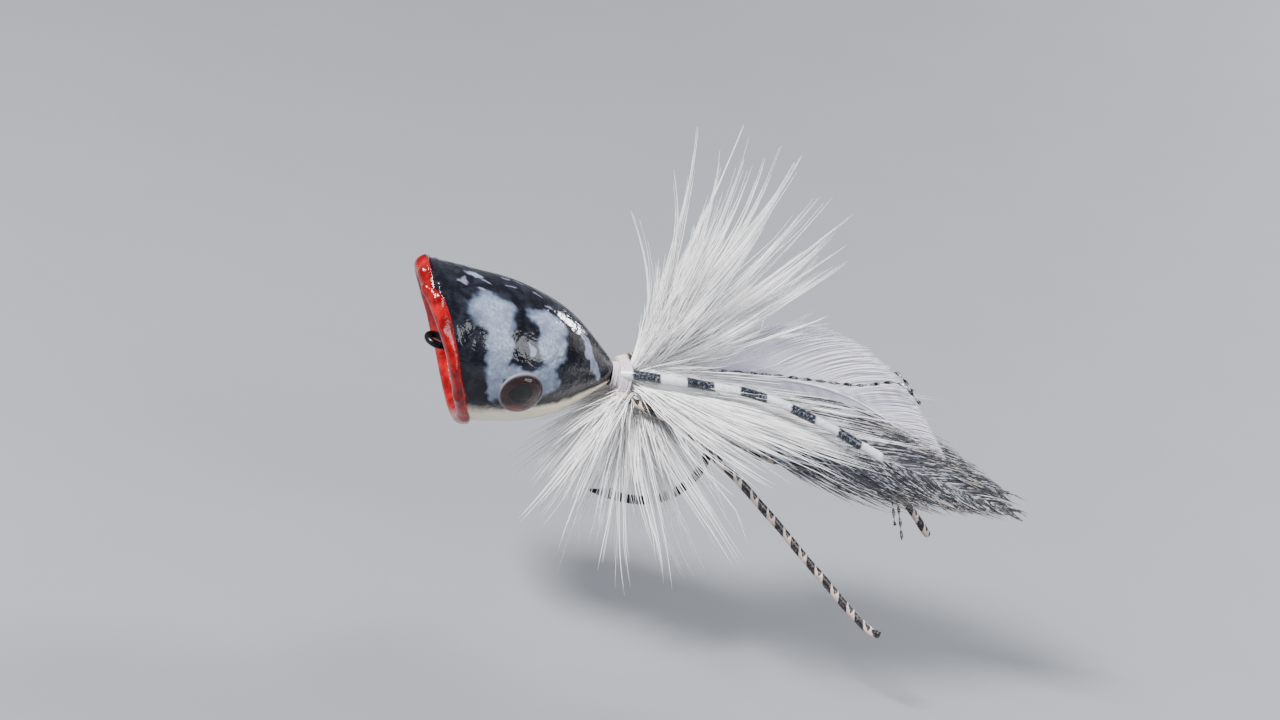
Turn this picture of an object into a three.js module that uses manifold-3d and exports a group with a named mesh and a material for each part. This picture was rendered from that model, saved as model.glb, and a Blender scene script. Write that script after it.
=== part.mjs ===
// A topwater popper for fly fishing: a cupped bullet-shaped head on a wide-gape hook, with a wound
// hackle collar, four round rubber legs and a feather-and-flash tail.
// Units are millimetres. The origin is the centre of the hook eye. +X runs back along the hook shank,
// +Z is up with the hook point hanging below the shank, and -Y is the lure's left side.
import * as THREE from "three";
import { mergeVertices } from "three/addons/utils/BufferGeometryUtils.js";
import Module from "manifold-3d";

const wasm = await Module();
wasm.setup();

// ---------------------------------------------------------------- driving dimensions
const GAP = 0.06; // clearance between two pieces that touch on the real lure
const WIRE_R = 0.42; // hook wire
const SHANK_END_X = 21.4; // where the straight shank turns into the bend
const BEND_R = 5.9; // half of the hook's gape
const POINT_X = 16.9; // tip of the hook point
const HOOK_SIDES = 8;
const HOOK_STEPS = 58;
const SHANK_THREAD_T = 0.18; // grip wraps on the shank inside the head
const EYE_RING_R = 0.88; // centreline of the hook eye
const EYE_WIRE_R = 0.34;
const EYE_TURN = THREE.MathUtils.degToRad(10); // the hook eye is turned up by this much
const EYE_TWIST = THREE.MathUtils.degToRad(7); // and is bent slightly towards the left

const HEAD_Z = 0.2; // the head's own axis lies this far above the shank
const HEAD_TAIL_X = 16.2;
const FACE_SLANT = THREE.MathUtils.degToRad(26.7); // the top lip leads the bottom lip
const FACE_X = -0.7; // where the face plane crosses the head's axis
const CUP_HALF_WIDTH = 5.9;
const CUP_HALF_HEIGHT = 6.6; // measured along the slanted face
const CUP_DEPTH = 2.7;
const ENAMEL_BAND = 2.1; // how far the red enamel wraps back over the lip
const ENAMEL_T = 0.35;
const ENAMEL_PROUD = 0.15;
const SLOT_W = 1.5; // sawn slot under the head that takes the hook

const EYE_X = 7.4; // the stick-on eyes
const EYE_BELOW = THREE.MathUtils.degToRad(12); // below the head's widest line
const EYE_R = 2.0;
const EYE_BASE_T = 0.3;
const EYE_DOME_H = 0.75;
const PUPIL_R = 1.05;
const PUPIL_T = 0.2;

const THREAD_R = 1.3; // collar of thread wraps behind the head
const THREAD_END_X = 17.9;
const HACKLE_X = 18.6; // middle of the wound feather stems
const STEM_R = 0.24;
const TAIL_TIE_R = 0.72;
const TAIL_TIE_END_X = 22.0;

const LEG_R = 0.4;
const FLASH_R = 0.16;
const WHITE_FEATHER_Y = 1.06; // how far each layer of the tail lies from the hook's plane
const FLASH_Y = 1.54;
const GRIZZLY_FEATHER_Y = 2.02;
const FEATHER_T = 0.42;
const QUILL_R = 0.27;

// ---------------------------------------------------------------- materials
const material = (color, roughness, metalness = 0, opacity = 1) =>
  new THREE.MeshStandardMaterial({ color, roughness, metalness, opacity, transparent: opacity < 1 });
const headPaint = material(0x15161a, 0.2);
const fillerPaint = material(0xd9d2bd, 0.35);
const redEnamel = material(0xb0121a, 0.3);
const blackNickel = material(0x141416, 0.3, 0.9);
const whiteThread = material(0xe9e4ec, 0.6);
const shankThread = material(0x2a2a2c, 0.7);
const irisFoil = material(0x4a130c, 0.35);
const pupilPaint = material(0x050505, 0.25);
const clearLens = material(0xffffff, 0.05, 0, 0.3);
const whiteHackle = material(0xf2f0f1, 0.75);
const whiteFeather = material(0xdcd8e6, 0.75);
const grizzlyFeather = material(0x59585a, 0.8);
const barredRubber = material(0xb9a79c, 0.5);
const flashFilm = material(0x30343a, 0.2, 0.6);

const lure = new THREE.Group();

function place(name, geometry, mat) {
  const mesh = new THREE.Mesh(geometry, mat);
  mesh.name = name;
  lure.add(mesh);
  return mesh;
}

// ---------------------------------------------------------------- solid helpers
function toSolid(geometry) {
  const bare = new THREE.BufferGeometry().setAttribute("position", geometry.getAttribute("position").clone());
  if (geometry.index) bare.setIndex(geometry.index.clone());
  const merged = mergeVertices(bare, 1e-4);
  return new wasm.Manifold(
    new wasm.Mesh({
      numProp: 3,
      vertProperties: new Float32Array(merged.attributes.position.array),
      triVerts: new Uint32Array(merged.index.array),
    }),
  );
}

function toGeometry(solid) {
  const mesh = solid.getMesh();
  const points = new Float32Array(mesh.numVert * 3);
  for (let i = 0; i < mesh.numVert; i++) {
    points.set(mesh.vertProperties.subarray(i * mesh.numProp, i * mesh.numProp + 3), i * 3);
  }
  return new THREE.BufferGeometry()
    .setAttribute("position", new THREE.BufferAttribute(points, 3))
    .setIndex(new THREE.BufferAttribute(mesh.triVerts, 1));
}

function roundSection(radius, sides) {
  const shape = new THREE.Shape();
  for (let i = 0; i < sides; i++) {
    const a = (2 * Math.PI * i) / sides;
    const [x, y] = [radius * Math.cos(a), radius * Math.sin(a)];
    if (i === 0) shape.moveTo(x, y);
    else shape.lineTo(x, y);
  }
  shape.closePath();
  return shape;
}

// A round tube along a smooth curve through the given points.
function tube(points, radius, sides, steps) {
  const path = new THREE.CatmullRomCurve3(
    points.map((p) => new THREE.Vector3(...p)),
    false,
    "centripetal",
  );
  return new THREE.ExtrudeGeometry(roundSection(radius, sides), { steps, extrudePath: path, bevelEnabled: false });
}

// A solid of revolution about the X axis at height z, from [x, radius] pairs in order of x.
function turned(profile, segments, z = 0) {
  const points = profile.map(([x, r]) => new THREE.Vector2(r, x));
  const closed = [new THREE.Vector2(0, profile[0][0]), ...points, new THREE.Vector2(0, profile.at(-1)[0])];
  const geometry = new THREE.LatheGeometry(closed, segments);
  geometry.rotateZ(-Math.PI / 2);
  geometry.translate(0, 0, z);
  return geometry;
}

function outline(points) {
  const shape = new THREE.Shape();
  points.forEach(([a, b], i) => (i === 0 ? shape.moveTo(a, b) : shape.lineTo(a, b)));
  shape.closePath();
  return shape;
}

// A flat plate whose outline is drawn in X and Z, with its thickness centred on y.
function plateXZ(shape, thickness, y, curveSegments = 6) {
  const geometry = new THREE.ExtrudeGeometry(shape, { depth: thickness, bevelEnabled: false, curveSegments });
  geometry.rotateX(Math.PI / 2);
  geometry.translate(0, y + thickness / 2, 0);
  return geometry;
}

const mirrorY = (p) => [p[0], -p[1], p[2]];

// ---------------------------------------------------------------- hook
// Shank with a hump that stops the head turning, a round bend and a straight spear.
function hookLine() {
  const points = [
    [0.9, 0, 0], [2.4, 0, 0], [4.2, 0, 0], [5.0, 0, -0.15], [6.0, 0, -1.1], [7.0, 0, -1.35],
    [8.0, 0, -1.1], [9.0, 0, -0.15], [9.8, 0, 0], [12.5, 0, 0], [16, 0, 0], [19, 0, 0],
  ];
  const arcSteps = 10;
  for (let i = 0; i <= arcSteps; i++) {
    const a = (Math.PI * i) / arcSteps;
    points.push([SHANK_END_X + BEND_R * Math.sin(a), 0, -BEND_R * (1 - Math.cos(a))]);
  }
  points.push([20.2, 0, -2 * BEND_R + 0.03], [19.0, 0, -2 * BEND_R + 0.1]);
  return points;
}

function makeHook() {
  const wire = toSolid(tube(hookLine(), WIRE_R, HOOK_SIDES, HOOK_STEPS));
  const ring = new THREE.TorusGeometry(EYE_RING_R, EYE_WIRE_R, 8, 18);
  ring.rotateX(EYE_TWIST);
  ring.rotateY(EYE_TURN);
  const pointLength = 19.0 - POINT_X;
  const point = new THREE.CylinderGeometry(0.03, WIRE_R, pointLength, HOOK_SIDES);
  point.rotateZ(Math.PI / 2);
  point.rotateY(THREE.MathUtils.degToRad(3.4));
  point.translate(19.03 - pointLength / 2, 0, -2 * BEND_R + 0.16);
  const barb = new THREE.ConeGeometry(0.2, 1.2, 6);
  barb.rotateZ(THREE.MathUtils.degToRad(-90));
  barb.rotateY(THREE.MathUtils.degToRad(-24));
  barb.translate(19.3, 0, -2 * BEND_R + 0.62);
  return wire.add(toSolid(ring)).add(toSolid(point)).add(toSolid(barb));
}
const hookSolid = makeHook();
const hookRoom = toSolid(tube(hookLine(), WIRE_R + GAP, HOOK_SIDES, HOOK_STEPS));
place("hook", toGeometry(hookSolid), blackNickel);

// ---------------------------------------------------------------- head
const HEAD_PROFILE = [
  [-5.4, 6.9], [-2.4, 7.0], [0, 6.95], [2.4, 6.85], [4.6, 6.68], [6.4, 6.42], [8.0, 6.08], [9.6, 5.62],
  [11.0, 5.02], [12.2, 4.32], [13.3, 3.5], [14.3, 2.68], [15.1, 1.98], [15.75, 1.42], [HEAD_TAIL_X, 0.95],
];
const radiusAt = (x) => {
  const i = HEAD_PROFILE.findIndex((p) => p[0] >= x);
  const [[x0, r0], [x1, r1]] = [HEAD_PROFILE[i - 1], HEAD_PROFILE[i]];
  return r0 + ((r1 - r0) * (x - x0)) / (x1 - x0);
};

// Everything ahead of the slanted face plane moved back by the given distance.
function aheadOfFace(back) {
  const block = new THREE.BoxGeometry(30, 40, 40);
  block.translate(-15 + back, 0, 0);
  block.rotateY(-FACE_SLANT);
  block.translate(FACE_X, 0, HEAD_Z);
  return toSolid(block);
}

// The cup in the face: half an ellipsoid, grown by the given amount.
function cup(grow) {
  const dish = new THREE.SphereGeometry(1, 24, 12);
  dish.scale(CUP_DEPTH + grow, CUP_HALF_WIDTH + grow, CUP_HALF_HEIGHT + grow);
  dish.rotateY(-FACE_SLANT);
  dish.translate(FACE_X, 0, HEAD_Z);
  return toSolid(dish);
}

function slab(width, top) {
  const block = new THREE.BoxGeometry(40, width, 12);
  block.translate(10, 0, top - 6);
  return toSolid(block);
}

const HEAD_SEGMENTS = 32;
const headBlank = toSolid(turned(HEAD_PROFILE, HEAD_SEGMENTS, HEAD_Z));
const proudBlank = toSolid(turned(HEAD_PROFILE.map(([x, r]) => [x, r + ENAMEL_PROUD]), HEAD_SEGMENTS, HEAD_Z));
const SLOT_TOP = 0.62;
const BORE_R = 0.95; // the round bottom of the sawn slot, which takes the thread-wrapped shank

// The eyes: a frame on the head's side whose own +Z points straight out of the skin.
function eyeFrame(side) {
  const slope = Math.atan2(radiusAt(EYE_X - 1) - radiusAt(EYE_X + 1), 2);
  const radial = new THREE.Vector3(0, side * Math.cos(EYE_BELOW), -Math.sin(EYE_BELOW));
  const out = radial.clone().multiplyScalar(Math.cos(slope)).add(new THREE.Vector3(Math.sin(slope), 0, 0));
  const seat = radial.clone().multiplyScalar(radiusAt(EYE_X) - 0.42);
  seat.add(new THREE.Vector3(EYE_X, 0, HEAD_Z));
  const turn = new THREE.Quaternion().setFromUnitVectors(new THREE.Vector3(0, 0, 1), out);
  return new THREE.Matrix4().compose(seat, turn, new THREE.Vector3(1, 1, 1));
}

// A solid of revolution about the eye's own axis, from [height, radius] pairs.
function eyeTurned(profile, frame, segments = 20) {
  const points = [new THREE.Vector2(0, profile[0][0]), ...profile.map(([h, r]) => new THREE.Vector2(r, h))];
  points.push(new THREE.Vector2(0, profile.at(-1)[0]));
  const geometry = new THREE.LatheGeometry(points, segments);
  geometry.rotateX(Math.PI / 2);
  geometry.applyMatrix4(frame);
  return geometry;
}

function addEye(prefix, side) {
  const frame = eyeFrame(side);
  place(prefix + "_iris", eyeTurned([[0, EYE_R], [EYE_BASE_T, EYE_R]], frame), irisFoil);
  const pupilFloor = EYE_BASE_T + 0.02;
  const pupilTop = pupilFloor + PUPIL_T;
  place(prefix + "_pupil", eyeTurned([[pupilFloor, PUPIL_R], [pupilTop, PUPIL_R]], frame), pupilPaint);
  const dome = [];
  const domeSteps = 4;
  for (let i = 0; i <= domeSteps; i++) {
    const a = (Math.PI / 2) * (i / domeSteps) * 0.96;
    dome.push([EYE_BASE_T + 0.02 + EYE_DOME_H * Math.sin(a), EYE_R * Math.cos(a)]);
  }
  const pocket = eyeTurned([[0, PUPIL_R + GAP], [pupilTop + GAP, PUPIL_R + GAP]], frame);
  const lens = toSolid(eyeTurned(dome, frame)).subtract(toSolid(pocket));
  place(prefix + "_lens", toGeometry(lens), clearLens);
  return toSolid(eyeTurned([[-0.02, EYE_R + GAP], [3, EYE_R + GAP]], frame));
}
const leftSocket = addEye("left_eye", -1);
const rightSocket = addEye("right_eye", 1);

function makeHead() {
  const bore = toSolid(turned([[-6, BORE_R], [20, BORE_R]], 20));
  const shell = headBlank
    .subtract(aheadOfFace(ENAMEL_BAND + GAP))
    .subtract(cup(ENAMEL_T + GAP))
    .subtract(slab(SLOT_W, SLOT_TOP))
    .subtract(bore)
    .subtract(leftSocket)
    .subtract(rightSocket);
  place("popper_head", toGeometry(shell), headPaint);

  const threadRoom = toSolid(tube(hookLine(), WIRE_R + SHANK_THREAD_T + GAP, HOOK_SIDES, HOOK_STEPS));
  const fill = headBlank
    .intersect(slab(SLOT_W - 2 * GAP, SLOT_TOP - GAP).add(toSolid(turned([[-6, BORE_R - GAP], [20, BORE_R - GAP]], 20))))
    .subtract(aheadOfFace(ENAMEL_BAND + GAP))
    .subtract(cup(ENAMEL_T + GAP))
    .subtract(threadRoom);
  place("slot_filler", toGeometry(fill), fillerPaint);

  const shankHole = toSolid(turned([[-6, WIRE_R + GAP], [6, WIRE_R + GAP]], 12));
  const coat = proudBlank
    .subtract(aheadOfFace(0))
    .intersect(aheadOfFace(ENAMEL_BAND).add(cup(ENAMEL_T)))
    .subtract(cup(0))
    .subtract(shankHole);
  place("face_enamel", toGeometry(coat), redEnamel);
}
makeHead();

// ---------------------------------------------------------------- thread
// Grip wraps along the shank inside the head, between the cup and the tail of the head.
function makeShankThread() {
  const outer = toSolid(tube(hookLine(), WIRE_R + SHANK_THREAD_T, HOOK_SIDES, HOOK_STEPS));
  const keep = new THREE.BoxGeometry(11.2, 4, 6);
  keep.translate(4.4 + 5.6, 0, 0);
  return outer.intersect(toSolid(keep)).subtract(hookRoom);
}
place("shank_thread", toGeometry(makeShankThread()), shankThread);

// A sleeve of thread wraps on the shank, whose skin rises and falls with each wrap.
function wraps(x0, x1, radius, pitch) {
  const profile = [];
  const turns = Math.max(1, Math.round((x1 - x0) / pitch));
  for (let i = 0; i < turns; i++) {
    const x = x0 + ((x1 - x0) * i) / turns;
    const step = (x1 - x0) / turns;
    profile.push([x + (i === 0 ? 0 : 0.02), radius - 0.09], [x + step / 2, radius]);
  }
  profile.push([x1, radius - 0.09]);
  return toSolid(turned(profile, 20)).subtract(toSolid(turned([[x0 - 1, WIRE_R + GAP], [x1 + 1, WIRE_R + GAP]], 12)));
}
place("collar_thread", toGeometry(wraps(HEAD_TAIL_X + GAP, THREAD_END_X, THREAD_R, 0.42)), whiteThread);
place("tail_thread", toGeometry(wraps(19.45, TAIL_TIE_END_X - 0.5, TAIL_TIE_R, 0.34)), whiteThread);

// ---------------------------------------------------------------- hackle collar
// The bare stems of two feathers, wound side by side round the shank.
function woundStem(x) {
  const ring = new THREE.TorusGeometry(WIRE_R + 0.35 + STEM_R, STEM_R, 6, 18);
  ring.rotateY(Math.PI / 2);
  ring.translate(x, 0, 0);
  return ring;
}
place("hackle_stem_front", woundStem(HACKLE_X - 0.32), whiteHackle);
place("hackle_stem_back", woundStem(HACKLE_X + 0.32), whiteHackle);

// A bunch of hackle barbs as one solid fan. The fan is drawn in a plane through the shank: sweep 0 points
// straight back, 90 straight out. clock turns that plane round the shank from +Z towards -Y, and flat fans
// are laid in a plane square to it instead.
function fan({ rootX, rootR, rootWidth, sweeps, lengths, thickRoot, thickTip }) {
  const rad = THREE.MathUtils.degToRad;
  const mid = rad((sweeps[0] + sweeps.at(-1)) / 2);
  const across = [Math.sin(mid), -Math.cos(mid)];
  const points = [
    [rootX + (across[0] * rootWidth) / 2, rootR + (across[1] * rootWidth) / 2],
    ...sweeps.map((s, i) => [rootX + lengths[i] * Math.cos(rad(s)), rootR + lengths[i] * Math.sin(rad(s))]),
    [rootX - (across[0] * rootWidth) / 2, rootR - (across[1] * rootWidth) / 2],
  ];
  const geometry = plateXZ(outline(points), 1, 0);
  const longest = Math.max(...lengths);
  const position = geometry.getAttribute("position");
  for (let i = 0; i < position.count; i++) {
    const away = Math.hypot(position.getX(i) - rootX, position.getZ(i) - rootR) / longest;
    position.setY(i, position.getY(i) * THREE.MathUtils.lerp(thickRoot, thickTip, Math.min(1, away)));
  }
  return geometry;
}

function addHackle() {
  const top = fan({
    rootX: HACKLE_X, rootR: 1.55, rootWidth: 1.3, thickRoot: 1.2, thickTip: 9,
    sweeps: [38, 47, 57, 66, 75, 84, 92], lengths: [19.5, 21.5, 22.8, 23.8, 24.6, 24.8, 22.4],
  });
  place("hackle_top", top, whiteHackle);
  const low = {
    rootX: HACKLE_X, rootR: 1.55, rootWidth: 1.2, thickRoot: 0.7, thickTip: 3.2,
    sweeps: [52, 64, 77, 90, 104, 117, 128], lengths: [15.5, 19, 21, 20.5, 19.5, 16.5, 12.5],
  };
  const side = {
    rootX: HACKLE_X, rootR: 1.9, rootWidth: 1.1, thickRoot: 0.6, thickTip: 1.5,
    sweeps: [34, 44, 54, 64, 74], lengths: [13, 14.2, 14, 12.5, 10.5],
  };
  for (const [name, spec, clock] of [
    ["hackle_lower_left", low, 151],
    ["hackle_lower_right", low, -151],
    ["hackle_left", side, 97],
    ["hackle_right", side, -97],
  ]) {
    const geometry = fan(spec);
    // A side fan opens in the plane through the shank that lies nearly level.
    geometry.rotateX(THREE.MathUtils.degToRad(clock));
    place(name, geometry, whiteHackle);
  }
}
addHackle();

// ---------------------------------------------------------------- rubber legs
const LEFT_UPPER = [
  [16.9, -1.58, 0.85], [18.4, -2.2, 1.25], [20.6, -2.85, 1.6], [24.2, -3.4, 2.05], [29.2, -4.1, 2.25],
  [34.0, -4.8, 1.55], [38.0, -5.4, 0.5], [41.6, -5.8, -0.8],
];
const LEFT_LOWER = [
  [16.9, -1.58, -0.85], [18.4, -2.2, -1.35], [20.6, -2.75, -1.75], [23.7, -3.2, -2.6], [29.6, -4.7, -6.1],
  [36.1, -6.5, -10.7], [41.2, -7.8, -14.4], [44.4, -8.7, -16.6], [45.6, -9.0, -16.8],
];
const RIGHT_UPPER = [
  [16.9, 1.58, 0.85], [18.4, 2.2, 1.25], [20.6, 2.85, 1.65], [25.0, 3.6, 1.95], [31.0, 4.7, 1.3],
  [37.5, 6.0, -1.2], [44.0, 7.6, -5.4], [50.0, 9.0, -10.2], [54.0, 9.9, -14.0],
];
const RIGHT_LOWER = [
  [16.9, 1.58, -0.85], [18.4, 2.2, -1.35], [20.6, 2.75, -1.95], [23.5, 3.1, -3.2], [27.7, 3.7, -5.1],
  [32.0, 4.4, -6.7], [36.6, 5.1, -7.2], [41.0, 5.8, -6.7],
];
const LEGS = {
  leg_left_upper: LEFT_UPPER,
  leg_left_lower: LEFT_LOWER,
  leg_right_upper: RIGHT_UPPER,
  leg_right_lower: RIGHT_LOWER,
};
for (const [name, points] of Object.entries(LEGS)) place(name, tube(points, LEG_R, 8, 22), barredRubber);

// ---------------------------------------------------------------- tail
// A feather: a thin curved vane with its quill along the middle line, tied beside the shank at the given y.
function feather({ line, widthsAbove, widthsBelow }, y) {
  const spine = new THREE.SplineCurve(line.map(([x, z]) => new THREE.Vector2(x, z)));
  const steps = 16;
  const above = [];
  const below = [];
  for (let i = 0; i <= steps; i++) {
    const t = i / steps;
    const p = spine.getPointAt(t);
    const n = spine.getTangentAt(t);
    const at = (widths) => {
      const k = t * (widths.length - 1);
      const j = Math.min(Math.floor(k), widths.length - 2);
      return THREE.MathUtils.lerp(widths[j], widths[j + 1], k - j);
    };
    above.push([p.x - n.y * at(widthsAbove), p.y + n.x * at(widthsAbove)]);
    below.push([p.x + n.y * at(widthsBelow), p.y - n.x * at(widthsBelow)]);
  }
  const vane = plateXZ(outline([...above, ...below.reverse()]), FEATHER_T, 0);
  const quillLine = [];
  const quillSteps = 7;
  for (let i = 0; i <= quillSteps; i++) {
    const p = spine.getPointAt((0.86 * i) / quillSteps);
    quillLine.push([p.x, 0, p.y]);
  }
  const quill = toSolid(tube(quillLine, QUILL_R, 6, 12));
  const whole = toGeometry(toSolid(vane).add(quill));
  whole.translate(0, y, 0);
  return whole;
}

const WHITE = {
  line: [[20.6, 0.1], [26, 1.9], [32, 3.2], [38.5, 2.7], [44.5, 0.2], [50.0, -4.4], [55.0, -9.2]],
  widthsAbove: [0.28, 1.6, 4.2, 5.4, 5.2, 3.6, 2.1, 0.3],
  widthsBelow: [0.28, 1.0, 2.4, 3.2, 3.2, 2.8, 1.7, 0.3],
};
const GRIZZLY = {
  line: [[20.6, -0.2], [27, -0.4], [34, -0.9], [41, -2.0], [48, -3.2], [53, -4.2], [57.4, -5.0]],
  widthsAbove: [0.28, 1.1, 1.9, 2.4, 2.5, 1.9, 1.2, 0.3],
  widthsBelow: [0.28, 1.9, 3.4, 3.7, 3.4, 2.7, 1.5, 0.3],
};
place("white_feather_left", feather(WHITE, -WHITE_FEATHER_Y), whiteFeather);
place("white_feather_right", feather(WHITE, WHITE_FEATHER_Y), whiteFeather);
place("grizzly_feather_left", feather(GRIZZLY, -GRIZZLY_FEATHER_Y), grizzlyFeather);
place("grizzly_feather_right", feather(GRIZZLY, GRIZZLY_FEATHER_Y), grizzlyFeather);

// Twisted film strands that lie between the feathers.
const FLASH = {
  flash_left_upper: [
    [20.8, -FLASH_Y, 0.9], [24.5, -FLASH_Y, 2.7], [31, -FLASH_Y, 3.6], [38.5, -FLASH_Y, 4.2],
    [42.4, -FLASH_Y, 5.2], [45.1, -FLASH_Y, 3.6],
  ],
  flash_left_lower: [
    [20.8, -FLASH_Y, -0.9], [27, -FLASH_Y, -1.1], [36, -FLASH_Y, -1.6], [42.9, -FLASH_Y, -3.3],
    [45.6, -FLASH_Y, -6.0], [47.5, -FLASH_Y, -10.1],
  ],
};
for (const [name, points] of Object.entries(FLASH)) {
  place(name, tube(points, FLASH_R, 5, 16), flashFilm);
  place(name.replace("left", "right"), tube(points.map(mirrorY), FLASH_R, 5, 16), flashFilm);
}

export default lure;
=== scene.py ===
import bpy
import numpy as np
from mathutils import Matrix, Vector
from numpy import arctan2, clip, copysign, cos, exp, hypot, interp, linspace, pi, radians, sin, sqrt, stack


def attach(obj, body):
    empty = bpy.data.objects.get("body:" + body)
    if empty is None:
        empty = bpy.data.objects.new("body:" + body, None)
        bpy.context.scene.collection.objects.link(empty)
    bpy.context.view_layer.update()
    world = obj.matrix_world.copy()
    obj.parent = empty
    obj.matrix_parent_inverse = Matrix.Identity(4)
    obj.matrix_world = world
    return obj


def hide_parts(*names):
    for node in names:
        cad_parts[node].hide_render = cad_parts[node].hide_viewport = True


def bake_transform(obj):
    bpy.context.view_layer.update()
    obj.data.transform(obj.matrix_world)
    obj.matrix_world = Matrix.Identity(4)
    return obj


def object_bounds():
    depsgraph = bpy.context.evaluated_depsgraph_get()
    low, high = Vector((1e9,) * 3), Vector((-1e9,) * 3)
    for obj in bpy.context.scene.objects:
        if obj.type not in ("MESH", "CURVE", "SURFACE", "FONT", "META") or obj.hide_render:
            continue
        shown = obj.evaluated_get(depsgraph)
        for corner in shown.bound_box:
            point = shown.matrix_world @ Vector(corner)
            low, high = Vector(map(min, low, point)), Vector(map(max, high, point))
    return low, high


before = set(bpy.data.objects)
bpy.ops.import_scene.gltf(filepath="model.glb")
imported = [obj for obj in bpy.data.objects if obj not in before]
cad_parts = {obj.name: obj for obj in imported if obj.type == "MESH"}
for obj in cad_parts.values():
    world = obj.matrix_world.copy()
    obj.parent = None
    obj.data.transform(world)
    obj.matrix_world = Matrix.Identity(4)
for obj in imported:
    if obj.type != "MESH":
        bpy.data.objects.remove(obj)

# The looks of a topwater popper. Shapes are worked out in millimetres in the frame of the CAD model:
# the origin is the hook eye, +X runs back along the shank, +Z is up and -Y is the lure's left side.
CAD_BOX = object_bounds()
MM = 0.001
SEED = 20

# ---- dimensions, in millimetres
WIRE_R = 0.42
SHANK_END_X = 21.4
BEND_R = 5.9
SPEAR_X = 19.4
POINT_X = 16.9
HOOK_EYE_R = 0.88
HOOK_EYE_WIRE_R = 0.34
HOOK_EYE_TURN = radians(10)
HOOK_EYE_TWIST = radians(7)

HEAD_Z = 0.2
HEAD_TAIL_X = 16.2
HEAD_PROFILE = [
    (-5.4, 6.9), (-2.4, 7.0), (0, 6.95), (2.4, 6.85), (4.6, 6.68), (6.4, 6.42), (8.0, 6.08), (9.6, 5.62),
    (11.0, 5.02), (12.2, 4.32), (13.3, 3.5), (14.3, 2.68), (15.1, 1.98), (15.75, 1.42), (16.2, 0.95)
]
FACE_X = 0.65
FACE_SLANT = radians(26.7)
CUP_HALF_WIDTH = 5.9
CUP_HALF_HEIGHT = 6.6
CUP_DEPTH = 2.7
ENAMEL_T = 0.30

EYE_X = 7.4
EYE_BELOW = radians(12)
EYE_R = 2.0
EYE_SEAT_DEPTH = 0.42  # below the skin
EYE_POCKET_R = EYE_R - 0.10
EYE_BASE_T = 0.3
EYE_DOME_H = 0.75

COLLAR = (16.28, 18.0)
LASH_TURNS = 11
GRIP_TURNS = 46
COLLAR_THREAD_R = 0.072
LASHING_R = 0.082
TAIL_THREAD_R = 0.066
GRIP_THREAD_R = 0.08
HACKLE_X = 18.6
BARB_ROOT_R = 0.95
STEM_R = 0.20
STEM_COIL_R = 0.86
STEM_TURNS = 1.9
STEM_APART = 0.32  # each stem's distance from HACKLE_X
TAIL_TIE = (19.3, 21.6)
TAIL_BEND = (20.4, 24.5)  # along X, two places between the shank and the tail, for the feathers and flash
SIDE_BEND = (20.4, 46.0)  # the same for the side barbs, which lie along the tail

SIDES = {"left": -1, "right": 1}
UP = np.array([0.0, 0.0, 1.0])
ACROSS = np.array([0.0, 1.0, 0.0])
BACK = np.array([1.0, 0.0, 0.0])


# ---- curves and tubes
def unit(v):
    return v / np.maximum(np.linalg.norm(v, axis=-1, keepdims=True), 1e-9)


def smoothstep(low, high, x):
    t = clip((np.asarray(x, float) - low) / (high - low), 0, 1)
    return t * t * (3 - 2 * t)


def spline(points, count):
    """Evenly spaced points on a smooth curve through the given ones."""
    p = np.array(points, float)
    p = np.vstack([2 * p[0] - p[1], p, 2 * p[-1] - p[-2]])
    pieces = []
    for i in range(1, len(p) - 2):
        p0, p1, p2, p3 = p[i - 1 : i + 3]
        t = linspace(0, 1, 24, endpoint=False)[:, None]
        pieces.append(
            0.5 * (2 * p1 + (p2 - p0) * t + (2 * p0 - 5 * p1 + 4 * p2 - p3)
            * t**2 + (3 * p1 - p0 - 3 * p2 + p3) * t**3)
        )
    dense = np.vstack([*pieces, p[-2][None]])
    travelled = distance_along(dense)
    even = linspace(0, travelled[-1], count)
    return stack([interp(even, travelled, dense[:, k]) for k in range(dense.shape[1])], 1)


def distance_along(path):
    return np.r_[0, np.cumsum(np.linalg.norm(np.diff(path, axis=0), axis=1))]


def outward(points, faces):
    """The faces of a closed surface, reversed if they face inwards."""
    volume = 0.0
    for face in faces:
        for k in range(1, face.shape[1] - 1):
            turned = np.cross(points[face[:, k]], points[face[:, k + 1]])
            volume += float((points[face[:, 0]] * turned).sum())
    return faces if volume > 0 else [face[:, ::-1] for face in faces]


def placed(name, data):
    """A new object in the scene."""
    made = bpy.data.objects.new(name, data)
    bpy.context.scene.collection.objects.link(made)
    return made


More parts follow.
